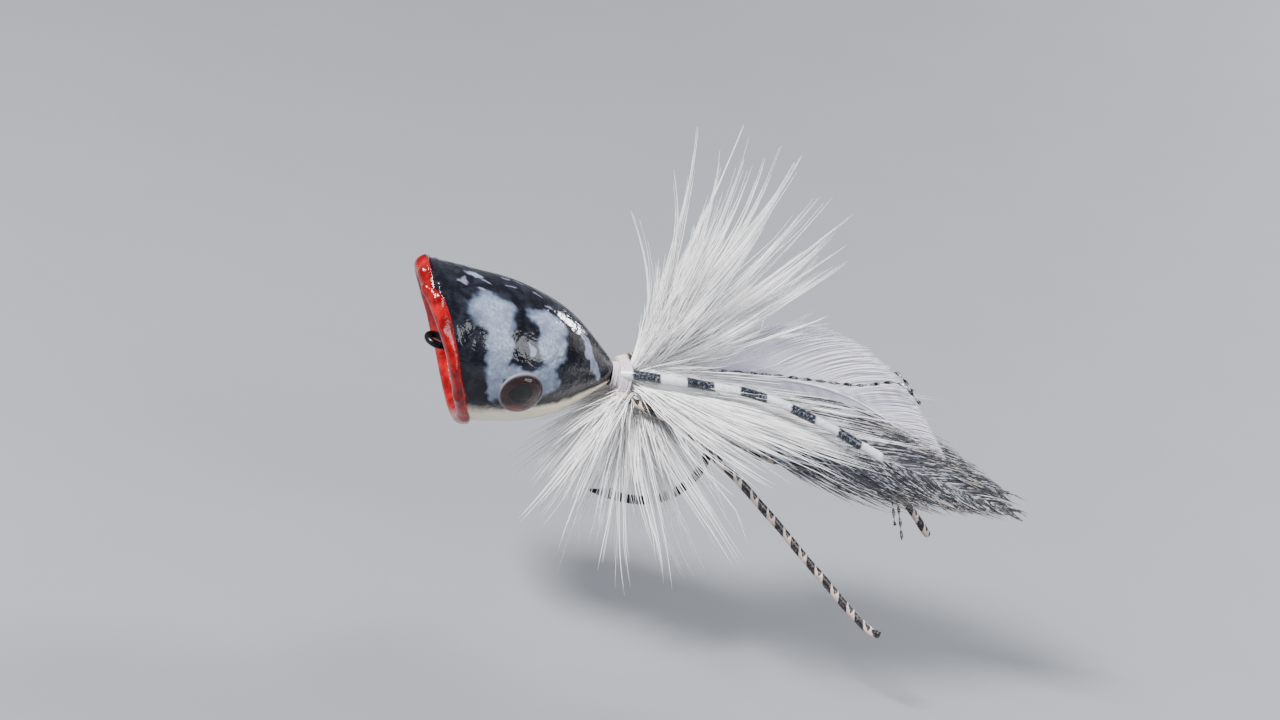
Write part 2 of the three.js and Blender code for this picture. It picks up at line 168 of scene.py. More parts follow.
class Stock:
    """Vertices, faces and per-vertex values, gathered into one mesh."""

    def __init__(self):
        self.points, self.faces, self.values, self.count = [], [], [], 0

    def add(self, points, faces, **values):
        points = np.asarray(points, float).reshape(-1, 3)
        self.points.append(points)
        self.faces += [f + self.count for f in outward(points - points.mean(0), faces)]
        self.values.append({k: np.broadcast_to(v, len(points)) for k, v in values.items()})
        self.count += len(points)

    def build(self, name, material, body, slot, replaces=()):
        mesh = bpy.data.meshes.new(name)
        mesh.vertices.add(self.count)
        mesh.vertices.foreach_set("co", (np.vstack(self.points) * MM).astype(np.float32).ravel())
        sizes = np.concatenate([np.full(len(f), f.shape[1]) for f in self.faces])
        mesh.loops.add(int(sizes.sum()))
        mesh.loops.foreach_set(
            "vertex_index", np.concatenate([f.ravel() for f in self.faces]).astype(np.int32)
        )
        mesh.polygons.add(len(sizes))
        mesh.polygons.foreach_set("loop_start", np.r_[0, np.cumsum(sizes)[:-1]].astype(np.int32))
        mesh.update(calc_edges=True)
        mesh.validate()
        mesh.shade_smooth()
        for key in self.values[0]:
            attribute = mesh.attributes.new(key, "FLOAT", "POINT")
            attribute.data.foreach_set(
                "value", np.concatenate([v[key] for v in self.values]).astype(np.float32)
            )
        mesh.materials.append(material)
        piece = placed(name, mesh)
        if isinstance(body, tuple):
            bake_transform(piece)
        else:
            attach(piece, body)
        if replaces:
            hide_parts(*replaces)


def with_tail(bend):
    """The bodies and two places along X for a piece that runs from the shank to the tail."""
    return "lure", "tail", Vector((bend[0] * MM, 0, 0)), Vector((bend[1] * MM, 0, 0))


def square_to(paths, face):
    """Two directions square to each path and to each other, the first of them square to face as well."""
    tangent = unit(np.gradient(paths, axis=-2))
    side = unit(np.cross(tangent, np.broadcast_to(face, tangent.shape)))
    return side, np.cross(side, tangent)


def strands(stock, paths, width, thick=None, face=UP, sides=3, turn=None, around=False, **values):
    """Adds closed tapered strands. paths is (strand, step, 3); width and thick are half sizes per step."""
    count, steps, _ = paths.shape
    width = np.broadcast_to(width, (count, steps))
    thick = width if thick is None else np.broadcast_to(thick, (count, steps))
    side, over = square_to(paths, face)
    if turn is not None:
        turn = np.broadcast_to(turn, (count, steps))[..., None]
        side, over = side * cos(turn) + over * sin(turn), over * cos(turn) - side * sin(turn)
    angle = np.arange(sides) * 2 * pi / sides
    wide, high = (width[..., None] * cos(angle))[..., None], (thick[..., None] * sin(angle))[..., None]
    ring = paths[:, :, None] + wide * side[:, :, None] + high * over[:, :, None]
    index = np.arange(count * steps * sides).reshape(count, steps, sides)
    near, far = index[:, :-1], index[:, 1:]
    quads = stack([near, far, np.roll(far, -1, 2), np.roll(near, -1, 2)], -1).reshape(-1, 4)
    ends = np.concatenate([index[:, 0], index[:, -1, ::-1]])
    values = {"along": linspace(0, 1, steps), **values}
    spread = {k: np.repeat(np.broadcast_to(v, (count, steps)).reshape(-1), sides) for k, v in values.items()}
    if around:
        spread["round_x"], spread["round_y"] = (np.tile(f(angle), count * steps) for f in (cos, sin))
    stock.add(ring, [quads, ends], **spread)


def tube(stock, path, radius, sides=12, face=UP, **values):
    """Adds one closed round tube, with the way along it and round it stored as numbers."""
    travelled = distance_along(path)
    values.update(along=travelled / travelled[-1], length_mm=travelled)
    strands(stock, path[None], radius, face=face, sides=sides, around=True, **values)


def grid(stock, points, wrap_v=False, **values):
    """Adds a closed surface from a (u, v, 3) array: round in u, and round or capped at both ends in v."""
    nu, nv = points.shape[:2]
    a = np.arange(nu * nv).reshape(nu, nv)
    b = np.roll(a, -1, 0)
    if wrap_v:
        quads = stack([a, b, np.roll(b, -1, 1), np.roll(a, -1, 1)], -1).reshape(-1, 4)
        stock.add(points, [quads], **values)
        return
    quads = stack([a[:, :-1], b[:, :-1], b[:, 1:], a[:, 1:]], -1).reshape(-1, 4)
    stock.add(points, [quads, a[None, ::-1, 0], a[None, :, -1]], **values)


def walked(step):
    """Where each strand has got to before each of its steps."""
    return np.concatenate([np.zeros_like(step[:, :1]), np.cumsum(step[:, :-1], axis=1)], 1)


def wander(rng, count, steps, waves=3):
    """Smooth random wobble, about one unit high, for each of count strands."""
    t = linspace(0, 1, steps)
    total = np.zeros((count, steps))
    for k in range(1, waves + 1):
        phase = rng.uniform(0, 2 * pi, (count, 1))
        total += rng.normal(0, 1 / k, (count, 1)) * sin(2 * pi * t * k * 0.5 + phase)
    return total - total[:, :1]


# ---- material nodes
class Paint:
    """A Principled material whose procedural colour, roughness and bump are wired up by small calls."""

    def __init__(self, name, **constants):
        self.material = bpy.data.materials.new(name)
        self.material.use_nodes = True
        self.tree = self.material.node_tree
        self.surface = self.tree.nodes["Principled BSDF"]
        for key, value in constants.items():
            self.surface.inputs[key.replace("_", " ")].default_value = value
        self.where = None

    def node(self, kind, **settings):
        made = self.tree.nodes.new("ShaderNode" + kind)
        for key, value in settings.items():
            setattr(made, key, value)
        return made

    def feed(self, socket, value):
        if isinstance(value, bpy.types.NodeSocket):
            self.tree.links.new(value, socket)
        else:
            socket.default_value = value

    def position(self):
        """The place on the piece, in millimetres."""
        if self.where is None:
            scale = self.node("VectorMath", operation="SCALE")
            self.feed(scale.inputs[0], self.node("TexCoord").outputs["Object"])
            scale.inputs["Scale"].default_value = 1 / MM
            self.where = scale.outputs[0]
        return self.where

    def value(self, name):
        return self.node("Attribute", attribute_name=name).outputs["Fac"]

    def math(self, operation, a, b=0.0, c=0.0, clamp=False):
        made = self.node("Math", operation=operation, use_clamp=clamp)
        for socket, v in zip(made.inputs, (a, b, c)):
            self.feed(socket, v)
        return made.outputs[0]

    def add(self, a, b):
        return self.math("ADD", a, b)

    def times(self, a, b):
        return self.math("MULTIPLY", a, b)

    def apart(self, vector):
        """The three numbers of a vector or colour."""
        made = self.node("SeparateXYZ")
        self.feed(made.inputs[0], vector)
        return made.outputs

    def length(self, vector):
        made = self.node("VectorMath", operation="LENGTH")
        self.feed(made.inputs[0], vector)
        return made.outputs["Value"]

    def vector(self, x, y, z=0.0):
        made = self.node("CombineXYZ")
        for socket, v in zip(made.inputs, (x, y, z)):
            self.feed(socket, v)
        return made.outputs[0]

    def noise(self, scale, detail=3.0, rough=0.55, at=None, color=False):
        made = self.node("TexNoise")
        self.feed(made.inputs["Vector"], at or self.position())
        for key, value in (("Scale", scale), ("Detail", detail), ("Roughness", rough)):
            made.inputs[key].default_value = value
        return made.outputs["Color" if color else "Fac"]

    def ramp(self, value, low, high, out_low=0.0, out_high=1.0, smooth=True):
        made = self.node("MapRange", interpolation_type="SMOOTHSTEP" if smooth else "LINEAR")
        for socket, v in zip(made.inputs, (value, low, high, out_low, out_high)):
            self.feed(socket, v)
        return made.outputs["Result"]

    def mix(self, factor, a, b, blend="MIX"):
        made = self.node("Mix", data_type="RGBA", blend_type=blend)
        self.feed(made.inputs["Factor"], factor)
        self.feed(made.inputs[6], a)
        self.feed(made.inputs[7], b)
        return made.outputs[2]

    def color(self, value):
        self.feed(self.surface.inputs["Base Color"], value)

    def roughness(self, value):
        self.feed(self.surface.inputs["Roughness"], value)

    def bump(self, height, distance_mm, strength=1.0):
        made = self.node("Bump")
        made.inputs["Distance"].default_value = distance_mm * MM
        made.inputs["Strength"].default_value = strength
        self.feed(made.inputs["Height"], height)
        self.feed(self.surface.inputs["Normal"], made.outputs["Normal"])


def rgb(r, g, b):
    return (r, g, b, 1.0)


# ---- head
# Pale blotches on the head: place along X, degrees round from the top towards the left, half sizes along X
# and round (in millimetres at the widest part) and the slant of the blotch.
LEFT_BLOTCHES = [
    (3.5, 42, 2.1, 1.9, 0.25), (4.5, 70, 1.15, 2.9, 0.1), (4.9, 100, 0.75, 1.6, 0.1),
    (7.1, 87, 2.5, 0.75, 0.0), (8.7, 36, 1.7, 1.3, 0.2), (9.5, 58, 1.4, 2.1, 0.15), (9.4, 88, 1.15, 1.9, 0.0),
    (13.5, 54, 0.42, 4.6, 0.32), (1.5, 4, 0.8, 0.6, 0.3), (7.4, 66, 0.35, 0.45, 0.5)
]
RIGHT_BLOTCHES = [
    (3.8, -48, 1.9, 2.2, -0.2), (4.3, -82, 1.2, 2.3, 0.1), (8.9, -44, 1.8, 1.9, -0.3),
    (8.1, -80, 2.0, 1.3, 0.1), (13.4, -60, 0.45, 4.2, -0.3), (1.4, -20, 0.7, 0.7, 0.0)
]
SPECKS = [
    (2.5, 10, 0.32, 0.2), (2.1, 24, 0.3, 0.22), (4.8, -5, 0.5, 0.16), (5.2, 8, 0.36, 0.14),
    (6.1, -4, 0.26, 0.2), (7.9, 4, 0.42, 0.15), (8.8, 18, 0.4, 0.16), (3.6, -14, 0.3, 0.2),
    (7.0, -18, 0.35, 0.18), (10.2, -8, 0.3, 0.15), (10.6, 9, 0.34, 0.14), (0.6, 16, 0.4, 0.2),
    (11.6, 2, 0.25, 0.12)
]
ARC_R = 6.8  # turns an angle round the head into a distance
ARC_PER_DEGREE = radians(1) * ARC_R
LIP_R = 6.9  # the same round the lip


def head_radius(x):
    xs, rs = zip(*HEAD_PROFILE)
    smooth = spline(list(zip(xs, rs)), 400)
    return interp(x, smooth[:, 0], smooth[:, 1])


def head_paint():
    p = Paint("head_lacquer", Roughness=0.12, IOR=1.45, Specular_IOR_Level=0.42)
    x, y, z = p.apart(p.position())
    up = p.math("SUBTRACT", z, HEAD_Z)
    arc = p.times(p.math("ARCTAN2", p.times(y, -1.0), up), ARC_R)
    wobble = p.apart(p.noise(0.55, 2.0, 0.5, color=True))
    fine = p.apart(p.noise(2.4, 2.0, 0.5, color=True))

    def warped(base, k):
        big = p.math("MULTIPLY_ADD", wobble[k], 2.2, -1.1)
        small = p.math("MULTIPLY_ADD", fine[k], 0.3, -0.15)
        return p.add(base, p.add(big, small))

    px, pa = warped(x, 0), warped(arc, 1)

    def blotch(soft, place_x, degrees, half_x, half_arc, slant=0.6):
        dx = p.math("SUBTRACT", px, place_x)
        da = p.math("SUBTRACT", pa, degrees * ARC_PER_DEGREE)
        leaned = p.math("MULTIPLY_ADD", da, -slant, dx)
        away = p.vector(p.math("DIVIDE", leaned, half_x), p.math("DIVIDE", da, half_arc))
        return p.ramp(p.length(away), 1 + soft, 1 - soft)

    pale = 0.0
    for spec in [*LEFT_BLOTCHES, *RIGHT_BLOTCHES]:
        pale = p.math("MAXIMUM", pale, blotch(0.34, *spec))
    speck = 0.0
    for spec in SPECKS:
        speck = p.math("MAXIMUM", speck, blotch(0.45, *spec))
    grain = p.noise(3.2, 5.0, 0.7)
    cloud = p.noise(0.9, 3.0, 0.6)
    pale_tone = p.mix(p.ramp(grain, 0.3, 0.7), rgb(0.15, 0.18, 0.245), rgb(0.30, 0.345, 0.45))
    pale_tone = p.mix(p.ramp(cloud, 0.35, 0.65), rgb(0.15, 0.175, 0.245), pale_tone)
    black = p.mix(p.ramp(cloud, 0.4, 0.7), rgb(0.004, 0.004, 0.007), rgb(0.014, 0.016, 0.024))
    cover = p.times(pale, p.ramp(grain, 0.1, 0.5, 0.6, 1.0))
    slate = p.mix(p.ramp(cover, 0.0, 0.45), black, rgb(0.075, 0.095, 0.14))
    coloured = p.mix(p.ramp(cover, 0.3, 1.0), slate, pale_tone)
    coloured = p.mix(p.times(speck, 0.55), coloured, rgb(0.24, 0.24, 0.36))
    # The belly is pale, with the black sprayed down over its edge. Its golden cream colour is partly painted
    # reflection: the warm tint of a wooden surface below.
    folded = p.math("ABSOLUTE", arc)
    edge = p.math("MULTIPLY_ADD", x, -0.11, 15.2)
    belly = p.ramp(p.add(folded, p.times(cloud, 1.6)), edge, p.add(edge, 1.5))
    belly_tone_with_reflection = p.mix(grain, rgb(0.72, 0.63, 0.44), rgb(0.86, 0.80, 0.66))
    p.color(p.mix(belly, coloured, belly_tone_with_reflection))
    p.bump(p.add(p.times(grain, 0.12), p.times(cloud, 3.0)), 0.07, 0.7)
    return p.material


def face_axes():
    """Origin, forward normal and upward direction of the slanted face plane."""
    normal = np.array([-cos(FACE_SLANT), 0, -sin(FACE_SLANT)])
    climb = np.array([-sin(FACE_SLANT), 0, cos(FACE_SLANT)])
    return np.array([FACE_X, 0, HEAD_Z]), normal, climb


def face_spokes(count):
    """Angles round the face, and the direction out from its middle at each."""
    theta = linspace(0, 2 * pi, count, endpoint=False)
    return theta, cos(theta)[:, None] * ACROSS + sin(theta)[:, None] * face_axes()[2]


def skin_reach(theta, behind):
    """Distance along the face from its middle to the head's skin, at a depth behind its plane."""
    origin, normal, climb = face_axes()
    direction = cos(theta)[..., None] * ACROSS + sin(theta)[..., None] * climb
    start = origin - np.asarray(behind)[..., None] * normal
    low, high = np.full(np.shape(theta), 3.0), np.full(np.shape(theta), 12.0)
    for _ in range(26):
        reach = (low + high) / 2
        p = start + reach[..., None] * direction
        outside = hypot(p[..., 1], p[..., 2] - HEAD_Z) > head_radius(p[..., 0])
        low, high = np.where(outside, low, reach), np.where(outside, reach, high)
    return (low + high) / 2


def lumps(shape, rng, scale=1.0):
    """A smooth random height for each point of a ring-shaped grid."""
    nu, nv = shape
    u = linspace(0, 2 * pi, nu, endpoint=False)[:, None]
    v = linspace(0, 1, nv)[None]
    total = np.zeros(shape)
    for k in range(1, 12):
        total += rng.normal(0, scale / k**0.8) * sin(k * u + rng.uniform(0, 6.28) + 2.5 * rng.normal() * v)
    return total


def sink_eye_pockets(points):
    """Skin points under an eye, lowered to the floor of its pocket."""
    for side in SIDES.values():
        seat = np.array(eye_frame(side))
        local = (points - seat[:3, 3]) @ seat[:3, :3]
        under = (hypot(local[..., 0], local[..., 1]) < EYE_POCKET_R) & (local[..., 2] > -1)
        local[..., 2] = np.where(under, -0.02, local[..., 2])
        points = np.where(under[..., None], local @ seat[:3, :3].T + seat[:3, 3], points)
    return points


def make_head():
    count, steps = 240, 170
    theta, spoke = face_spokes(count)
    origin, normal, _ = face_axes()
    front_depth = 0.22
    reach = skin_reach(theta, np.full(count, front_depth))
    # The dish under the enamel, from its middle out to the lip.
    rows = []
    for s in linspace(0.03, 0.96, 18):
        bowl = (CUP_DEPTH + 0.45) * sqrt(1 - s**2) + front_depth * s**4
        rows.append(origin - bowl * normal + (reach * s)[:, None] * spoke)
    # The skin, from the lip back to the tail.
    front = origin - front_depth * normal + reach[:, None] * spoke
    around = arctan2(front[:, 2] - HEAD_Z, front[:, 1])[:, None]
    x = front[:, :1] + (HEAD_TAIL_X - front[:, :1]) * linspace(0, 1, steps)[None]
    left = np.degrees(arctan2(-cos(around), sin(around)))
    crumple = exp(-(((x - 0.8) / 2.0) ** 2) - ((np.abs(left) - 45) / 26) ** 2)
    ripples = sin(2.6 * x + 0.11 * left) * sin(0.16 * left - 1.1 * x) + 0.5 * sin(4.9 * x - 0.2 * left)
    swell = 0.035 * sin(3 * around + 0.55 * x + 0.7) + 0.02 * sin(5 * around - 0.9 * x)
    swell = swell * smoothstep(0, 2.5, x) * smoothstep(15.5, 12, x)
    radius = head_radius(x) + swell + 0.07 * crumple * ripples
    skin = sink_eye_pockets(stack([x, radius * cos(around), HEAD_Z + radius * sin(around)], -1))
    rows += [skin[:, k] for k in range(steps)]
    for s in (0.8, 0.5, 0.15):
        end = skin[:, -1].copy()
        end[:, 1] *= s
        end[:, 2] = HEAD_Z + (end[:, 2] - HEAD_Z) * s
        end[:, 0] += 0.12 * (1 - s)
        rows.append(end)
    stock = Stock()
    grid(stock, stack(rows, 1))
    stock.build("popper_head_shell", head_paint(), "lure", "head_paint", ["popper_head"])


def filler_paint():
    p = Paint("belly_epoxy", Roughness=0.2, Coat_Weight=0.6, Coat_Roughness=0.06)
    grain = p.noise(2.0, 4.0)
    # Cream with a golden tint that is partly painted reflection of a warm wooden surface below.
    p.color(p.mix(grain, rgb(0.62, 0.53, 0.36), rgb(0.84, 0.78, 0.63)))
    p.bump(grain, 0.05, 0.5)
    return p.material


def make_filler():
    """The strip of filler along the belly, just proud of the skin."""
    steps, across = 120, 13
    x = linspace(3.6, 15.9, steps)
    half = 0.62 + 0.05 * sin(x * 2.1)
    angle = linspace(-1, 1, across)
    crown = 0.05 * sqrt(clip(1 - angle**2, 0, 1)) - 0.02
    radius = head_radius(x)
    spread = angle[None] * np.arcsin(clip(half / radius, -1, 1))[:, None]
    outer = stack(
        [np.broadcast_to(x[:, None], spread.shape), (radius[:, None] + crown) * sin(spread),
        HEAD_Z - (radius[:, None] + crown) * cos(spread)], -1
    )
    inner = outer + np.array([0, 0, 0.35])
    loop = np.concatenate([outer, inner[:, ::-1]], 1)
    stock = Stock()
    grid(stock, loop.transpose(1, 0, 2))
    stock.build("belly_filler_strip", filler_paint(), "lure", "belly_paint", ["slot_filler"])


# ---- face enamel
def enamel_paint():
    p = Paint("red_enamel", Roughness=0.16, IOR=1.48)
    cloud = p.noise(0.7, 4.0, 0.6)
    grain = p.noise(4.0, 3.0, 0.6)
    deep = p.mix(p.ramp(cloud, 0.35, 0.7), rgb(0.13, 0.0, 0.001), rgb(0.36, 0.001, 0.003))
    p.color(p.mix(p.ramp(grain, 0.62, 0.78), deep, rgb(0.50, 0.012, 0.006)))
    p.bump(p.add(cloud, p.times(grain, 0.25)), 0.12, 0.7)
    return p.material


# Drops of enamel round the lip: degrees round the face from the right side, place across the lip from the
# skin (0) over the rim to the cup (1), size and height in millimetres.
ENAMEL_DROPS = [
    (128, 0.16, 0.85, 0.50), (118, 0.52, 0.75, 0.50), (101, 0.46, 0.60, 0.34), (85, 0.40, 0.9, 0.25),
    (150, 0.45, 0.9, 0.18), (182, 0.30, 1.1, 0.20), (205, 0.50, 0.8, 0.25), (236, 0.35, 1.0, 0.22),
    (262, 0.30, 0.9, 0.30), (20, 0.40, 0.9, 0.30), (55, 0.22, 0.8, 0.36), (300, 0.40, 0.8, 0.28),
    (335, 0.3, 0.9, 0.24)
]


def make_enamel():
    count, lip_steps, cup_steps = 360, 60, 44
    rng = np.random.default_rng(SEED + 2)
    theta, direction = face_spokes(count)
    origin, normal, _ = face_axes()
    # The coat reaches further back on the sides than over the top of the head.
    from_top = np.abs((np.degrees(theta) - 90 + 180) % 360 - 180)
    band = interp(
        from_top, [0, 30, 41, 63, 86, 104, 126, 180], [0.40, 0.38, 1.0, 1.05, 0.95, 0.85, 0.55, 0.5]
    )
    band += 0.05 * sin(5 * theta + 1.0) + 0.04 * sin(11 * theta)
    cup_edge = 1 / sqrt((cos(theta) / CUP_HALF_WIDTH) ** 2 + (sin(theta) / CUP_HALF_HEIGHT) ** 2)
    rows = []
    # Skin side: from the back edge of the band forward to the rim.
    for s in linspace(0, 1, 22):
        behind = band * (1 - s) + 0.15 * s
        lift = 0.30 * sqrt(1 - (1 - s) ** 2.2) - 0.02
        reach = skin_reach(theta, behind) + lift
        rows.append(origin - behind[:, None] * normal + reach[:, None] * direction)
    # Over the rim, a bead that stands forward of the face plane, lowest on the left.
    bead = 0.66 + 0.48 * cos(theta) + 0.36 * sin(theta) ** 2 + 0.05 * sin(4 * theta)
    outer_reach = skin_reach(theta, np.full(count, 0.15)) + 0.28
    inner_reach = cup_edge - 0.1
    middle, half = (outer_reach + inner_reach) / 2, (outer_reach - inner_reach) / 2
    for a in linspace(0.05, 0.95, lip_steps - 22):
        forward = bead * sin(pi * a) - 0.15 * cos(pi * a) ** 2
        reach = middle + half * cos(pi * a)
        rows.append(origin + forward[:, None] * normal + reach[:, None] * direction)
    # Down into the cup, to the shank in its middle.
    for s in linspace(0.985, 0.0, cup_steps):
        depth = CUP_DEPTH * sqrt(1 - s**2)
        reach = np.maximum(inner_reach * s, 0.40)
        rows.append(origin - depth * normal + reach[:, None] * direction)
    outer = stack(rows, 1)
    # Heights of drops and ripples are added along the surface normal.
    du = np.roll(outer, -1, 0) - np.roll(outer, 1, 0)
    dv = np.gradient(outer, axis=1)
    face_out = unit(np.cross(dv, du))
    across = linspace(0, 1, outer.shape[1])
    lip_end = lip_steps / outer.shape[1]
    height = np.zeros(outer.shape[:2])
    for degrees, place, size, tall in ENAMEL_DROPS:
        gap = (np.degrees(theta) - degrees + 180) % 360 - 180
        arc = radians(gap) * LIP_R
        over = (across - place * lip_end) / lip_end * 4.0
        height += 0.7 * tall * exp(-((arc[:, None] / (size * 0.62)) ** 2) - (over[None] / (size * 0.8)) ** 2)
    ripple = clip(lumps(outer.shape[:2], rng, 0.05), -0.05, 0.16)
    fade = smoothstep(0, 0.12, across) * smoothstep(1.0, 0.75, across)
    outer = outer + (height * smoothstep(0, 0.04, across) + ripple * fade)[..., None] * face_out
    inner = outer - ENAMEL_T * face_out
    inner[:, 0] = outer[:, 0] - 0.12 * face_out[:, 0]
    loop = np.concatenate([outer, inner[:, ::-1]], 1)
    stock = Stock()
    grid(stock, loop, wrap_v=True)
    stock.build("face_enamel_coat", enamel_paint(), "lure", "face_red", ["face_enamel"])


# ---- eyes
def iris_paint():
    p = Paint("eye_foil", Roughness=0.4, Specular_IOR_Level=0.08)
    away, turn = p.value("radius_mm"), p.value("turn")
    rays = p.noise(1.0, 4.0, 0.7, at=p.vector(p.times(turn, 14.0), p.times(away, 1.6)))
    dark = p.mix(p.ramp(rays, 0.35, 0.7), rgb(0.008, 0.001, 0.001), rgb(0.07, 0.006, 0.003))
    # Painted light: towards its edge the lower part of the iris is painted orange-red, a glint of light
    # through the dome.
    low = p.ramp(p.value("lowness"), 0.55, 1.0)
    painted_lower_glint = p.mix(p.times(low, p.ramp(away, 0.9, 1.5)), dark, rgb(0.55, 0.06, 0.012))
    rim = p.ramp(p.add(away, p.times(rays, 0.10)), 1.76, 1.92)
    p.color(p.mix(rim, painted_lower_glint, rgb(0.17, 0.16, 0.19)))
    p.bump(rays, 0.02, 0.6)
    return p.material


def pupil_paint():
    p = Paint("eye_pupil_gloss", Roughness=0.3, Specular_IOR_Level=0.05)
    grain = p.noise(6.0, 2.0)
    p.color(p.mix(grain, rgb(0.001, 0.001, 0.0015), rgb(0.006, 0.003, 0.003)))
    p.bump(grain, 0.01, 0.3)
    return p.material


def lens_paint():
    p = Paint("eye_dome", Roughness=0.03, IOR=1.33, Transmission_Weight=1.0)
    p.color(rgb(1.0, 0.99, 0.98))
    grain = p.noise(3.0, 2.0)
    p.roughness(p.ramp(grain, 0.3, 0.8, 0.02, 0.07))
    return p.material


def eye_frame(side):
    """Matrix of the eye's seat: its own Z points straight out of the skin, in millimetres."""
    slope = arctan2(float(head_radius(EYE_X - 1) - head_radius(EYE_X + 1)), 2)
    radial = Vector((0, side * cos(EYE_BELOW), -sin(EYE_BELOW)))
    out = (radial * cos(slope) + Vector((sin(slope), 0, 0))).normalized()
    seat = radial * (float(head_radius(EYE_X)) - EYE_SEAT_DEPTH) + Vector((EYE_X, 0, HEAD_Z))
    turn = Vector((0, 0, 1)).rotation_difference(out).to_matrix().to_4x4()
    return Matrix.Translation(seat) @ turn


def crisp(profile, hold=0.012):
    """The profile with a point just before and just after each sharp corner, so that it shades crisply."""
    kept = [profile[0]]
    for before, corner, after in zip(profile, profile[1:], profile[2:]):
        into, out = np.subtract(corner, before), np.subtract(after, corner)
        long_in, long_out = np.linalg.norm(into), np.linalg.norm(out)
        sharp = into @ out < cos(radians(30)) * long_in * long_out
        if sharp and long_in > 3 * hold:
            kept.append(tuple(corner - into / long_in * hold))
        kept.append(corner)
        if sharp and long_out > 3 * hold:
            kept.append(tuple(corner + out / long_out * hold))
    return [*kept, profile[-1]]


def turned_stock(profile, seat, segments=72):
    """A surface of revolution about the seat's Z, from (height, radius) pairs, closed at both ends."""
    angle = linspace(0, 2 * pi, segments, endpoint=False)[:, None]
    heights, radii = (np.array(v, float)[None] for v in zip(*crisp(profile)))
    local = stack([radii * cos(angle), radii * sin(angle), heights + 0 * angle], -1)
    seat = np.array(seat)
    points = local @ seat[:3, :3].T + seat[:3, 3]
    low = points[..., 2].mean() - points[..., 2]
    low = low / max(1e-6, np.abs(low).max())
    stock = Stock()
    away, turn = radii + 0 * angle, sin(angle * 3) + 0 * radii
    grid(stock, points, radius_mm=away.ravel(), turn=turn.ravel(), lowness=low.ravel())
    return stock


def make_eyes():
    irises, pupils, lenses = iris_paint(), pupil_paint(), lens_paint()
    for name, side in SIDES.items():
        prefix, seat = name + "_eye", eye_frame(side)
        # A foil disc with a raised ring of clear glue round it, which covers the edge of the pocket.
        disc = [(0.0, 0.01), (0.0, EYE_R - 0.03), (0.04, EYE_R), (0.16, EYE_R + 0.12)]
        for a in linspace(0, pi, 9):
            disc.append((0.30 + 0.15 * sin(a), EYE_R + 0.02 * cos(a) + 0.10 * cos(a)))
        disc += [(EYE_BASE_T, r) for r in (1.86, 1.8, 1.7, 1.6, 1.4, 1.2, 1.0, 0.6, 0.3, 0.01)]
        turned_stock(disc, seat).build(prefix + "_foil", irises, "lure", "eye_iris", [prefix + "_iris"])
        top = EYE_BASE_T + 0.02
        pupil = [
            (top, 0.01), (top, 1.02), (top + 0.06, 1.06), (top + 0.12, 1.0), (top + 0.16, 0.6),
            (top + 0.17, 0.01)
        ]
        turned_stock(pupil, seat).build(prefix + "_black", pupils, "lure", "eye_pupil", [prefix + "_pupil"])
        # The dome is hollow underneath, over the pupil, and sits on the foil with its rim.
        reach = EYE_R - 0.12
        dome = [(top + 0.19, 0.01), (top + 0.19, 1.3), (top, 1.66), (top, reach - 0.03)]
        for a in linspace(0.08, pi / 2, 20):
            dome.append((top + EYE_DOME_H * sin(a), max(0.01, reach * cos(a))))
        turned_stock(dome, seat).build(prefix + "_dome", lenses, "lure", "eye_lens", [prefix + "_lens"])


# ---- hook
def hook_paint():
    p = Paint("black_nickel", Metallic=0.7, Roughness=0.26)
    grain = p.noise(1.6, 4.0, 0.6)
    fine = p.noise(14.0, 2.0, 0.6)
    p.color(p.mix(p.ramp(grain, 0.3, 0.75), rgb(0.006, 0.006, 0.008), rgb(0.022, 0.022, 0.028)))
    p.roughness(p.ramp(fine, 0.2, 0.8, 0.18, 0.38))
    p.bump(fine, 0.008, 0.5)
    return p.material


def hook_line():
    points = [(0.95, 0, 0), (2.4, 0, 0), (4.2, 0, 0), (5.0, 0, -0.15), (6.0, 0, -1.1), (7.0, 0, -1.35)]
    points += [(8.0, 0, -1.1), (9.0, 0, -0.15), (9.8, 0, 0), (12.5, 0, 0), (16, 0, 0), (19.6, 0, 0)]
    for a in linspace(0, pi, 15):
        points.append((SHANK_END_X + BEND_R * sin(a), 0, -BEND_R * (1 - cos(a))))
    points += [
        (20.2, 0, -2 * BEND_R + 0.03), (SPEAR_X, 0, -2 * BEND_R + 0.06), (POINT_X, 0, -2 * BEND_R + 0.2)
    ]
    return points


def make_hook():
    stock = Stock()
    path = spline(hook_line(), 420)
    travelled = linspace(0, 1, len(path))
    spear = (path[:, 0] < SPEAR_X) & (travelled > 0.8)
    radius = np.full(len(path), WIRE_R)
    taper = clip((path[spear, 0] - POINT_X) / (SPEAR_X - POINT_X), 0, 1)
    radius[spear] = WIRE_R * clip(taper, 0.03, 1) ** 0.75
    radius *= np.where(travelled < 0.02, 0.82 + 9 * travelled, 1.0)
    tube(stock, path, radius, 18, face=ACROSS)
    ring_angle = linspace(0, 2 * pi, 64, endpoint=False)[:, None]
    wire_angle = linspace(0, 2 * pi, 18, endpoint=False)[None]
    reach = HOOK_EYE_R + HOOK_EYE_WIRE_R * cos(wire_angle)
    rise = HOOK_EYE_WIRE_R * sin(wire_angle) + 0 * ring_angle
    ring = stack([reach * cos(ring_angle), reach * sin(ring_angle), rise], -1)
    turn = Matrix.Rotation(HOOK_EYE_TURN, 3, "Y") @ Matrix.Rotation(HOOK_EYE_TWIST, 3, "X")
    ring = ring @ np.array(turn).T
    grid(stock, ring, wrap_v=True, along=0.0, length_mm=0.0, round_x=0.0, round_y=0.0)
    # The barb is a sliver raised from the spear.
    barb = spline(
        [(18.5, 0, -2 * BEND_R + 0.30), (19.1, 0, -2 * BEND_R + 0.52), (19.75, 0, -2 * BEND_R + 0.86)], 12
    )
    tube(stock, barb, linspace(0.26, 0.03, 12), 10, face=ACROSS)
    stock.build("hook_wire", hook_paint(), "lure", "hook_black", ["hook"])


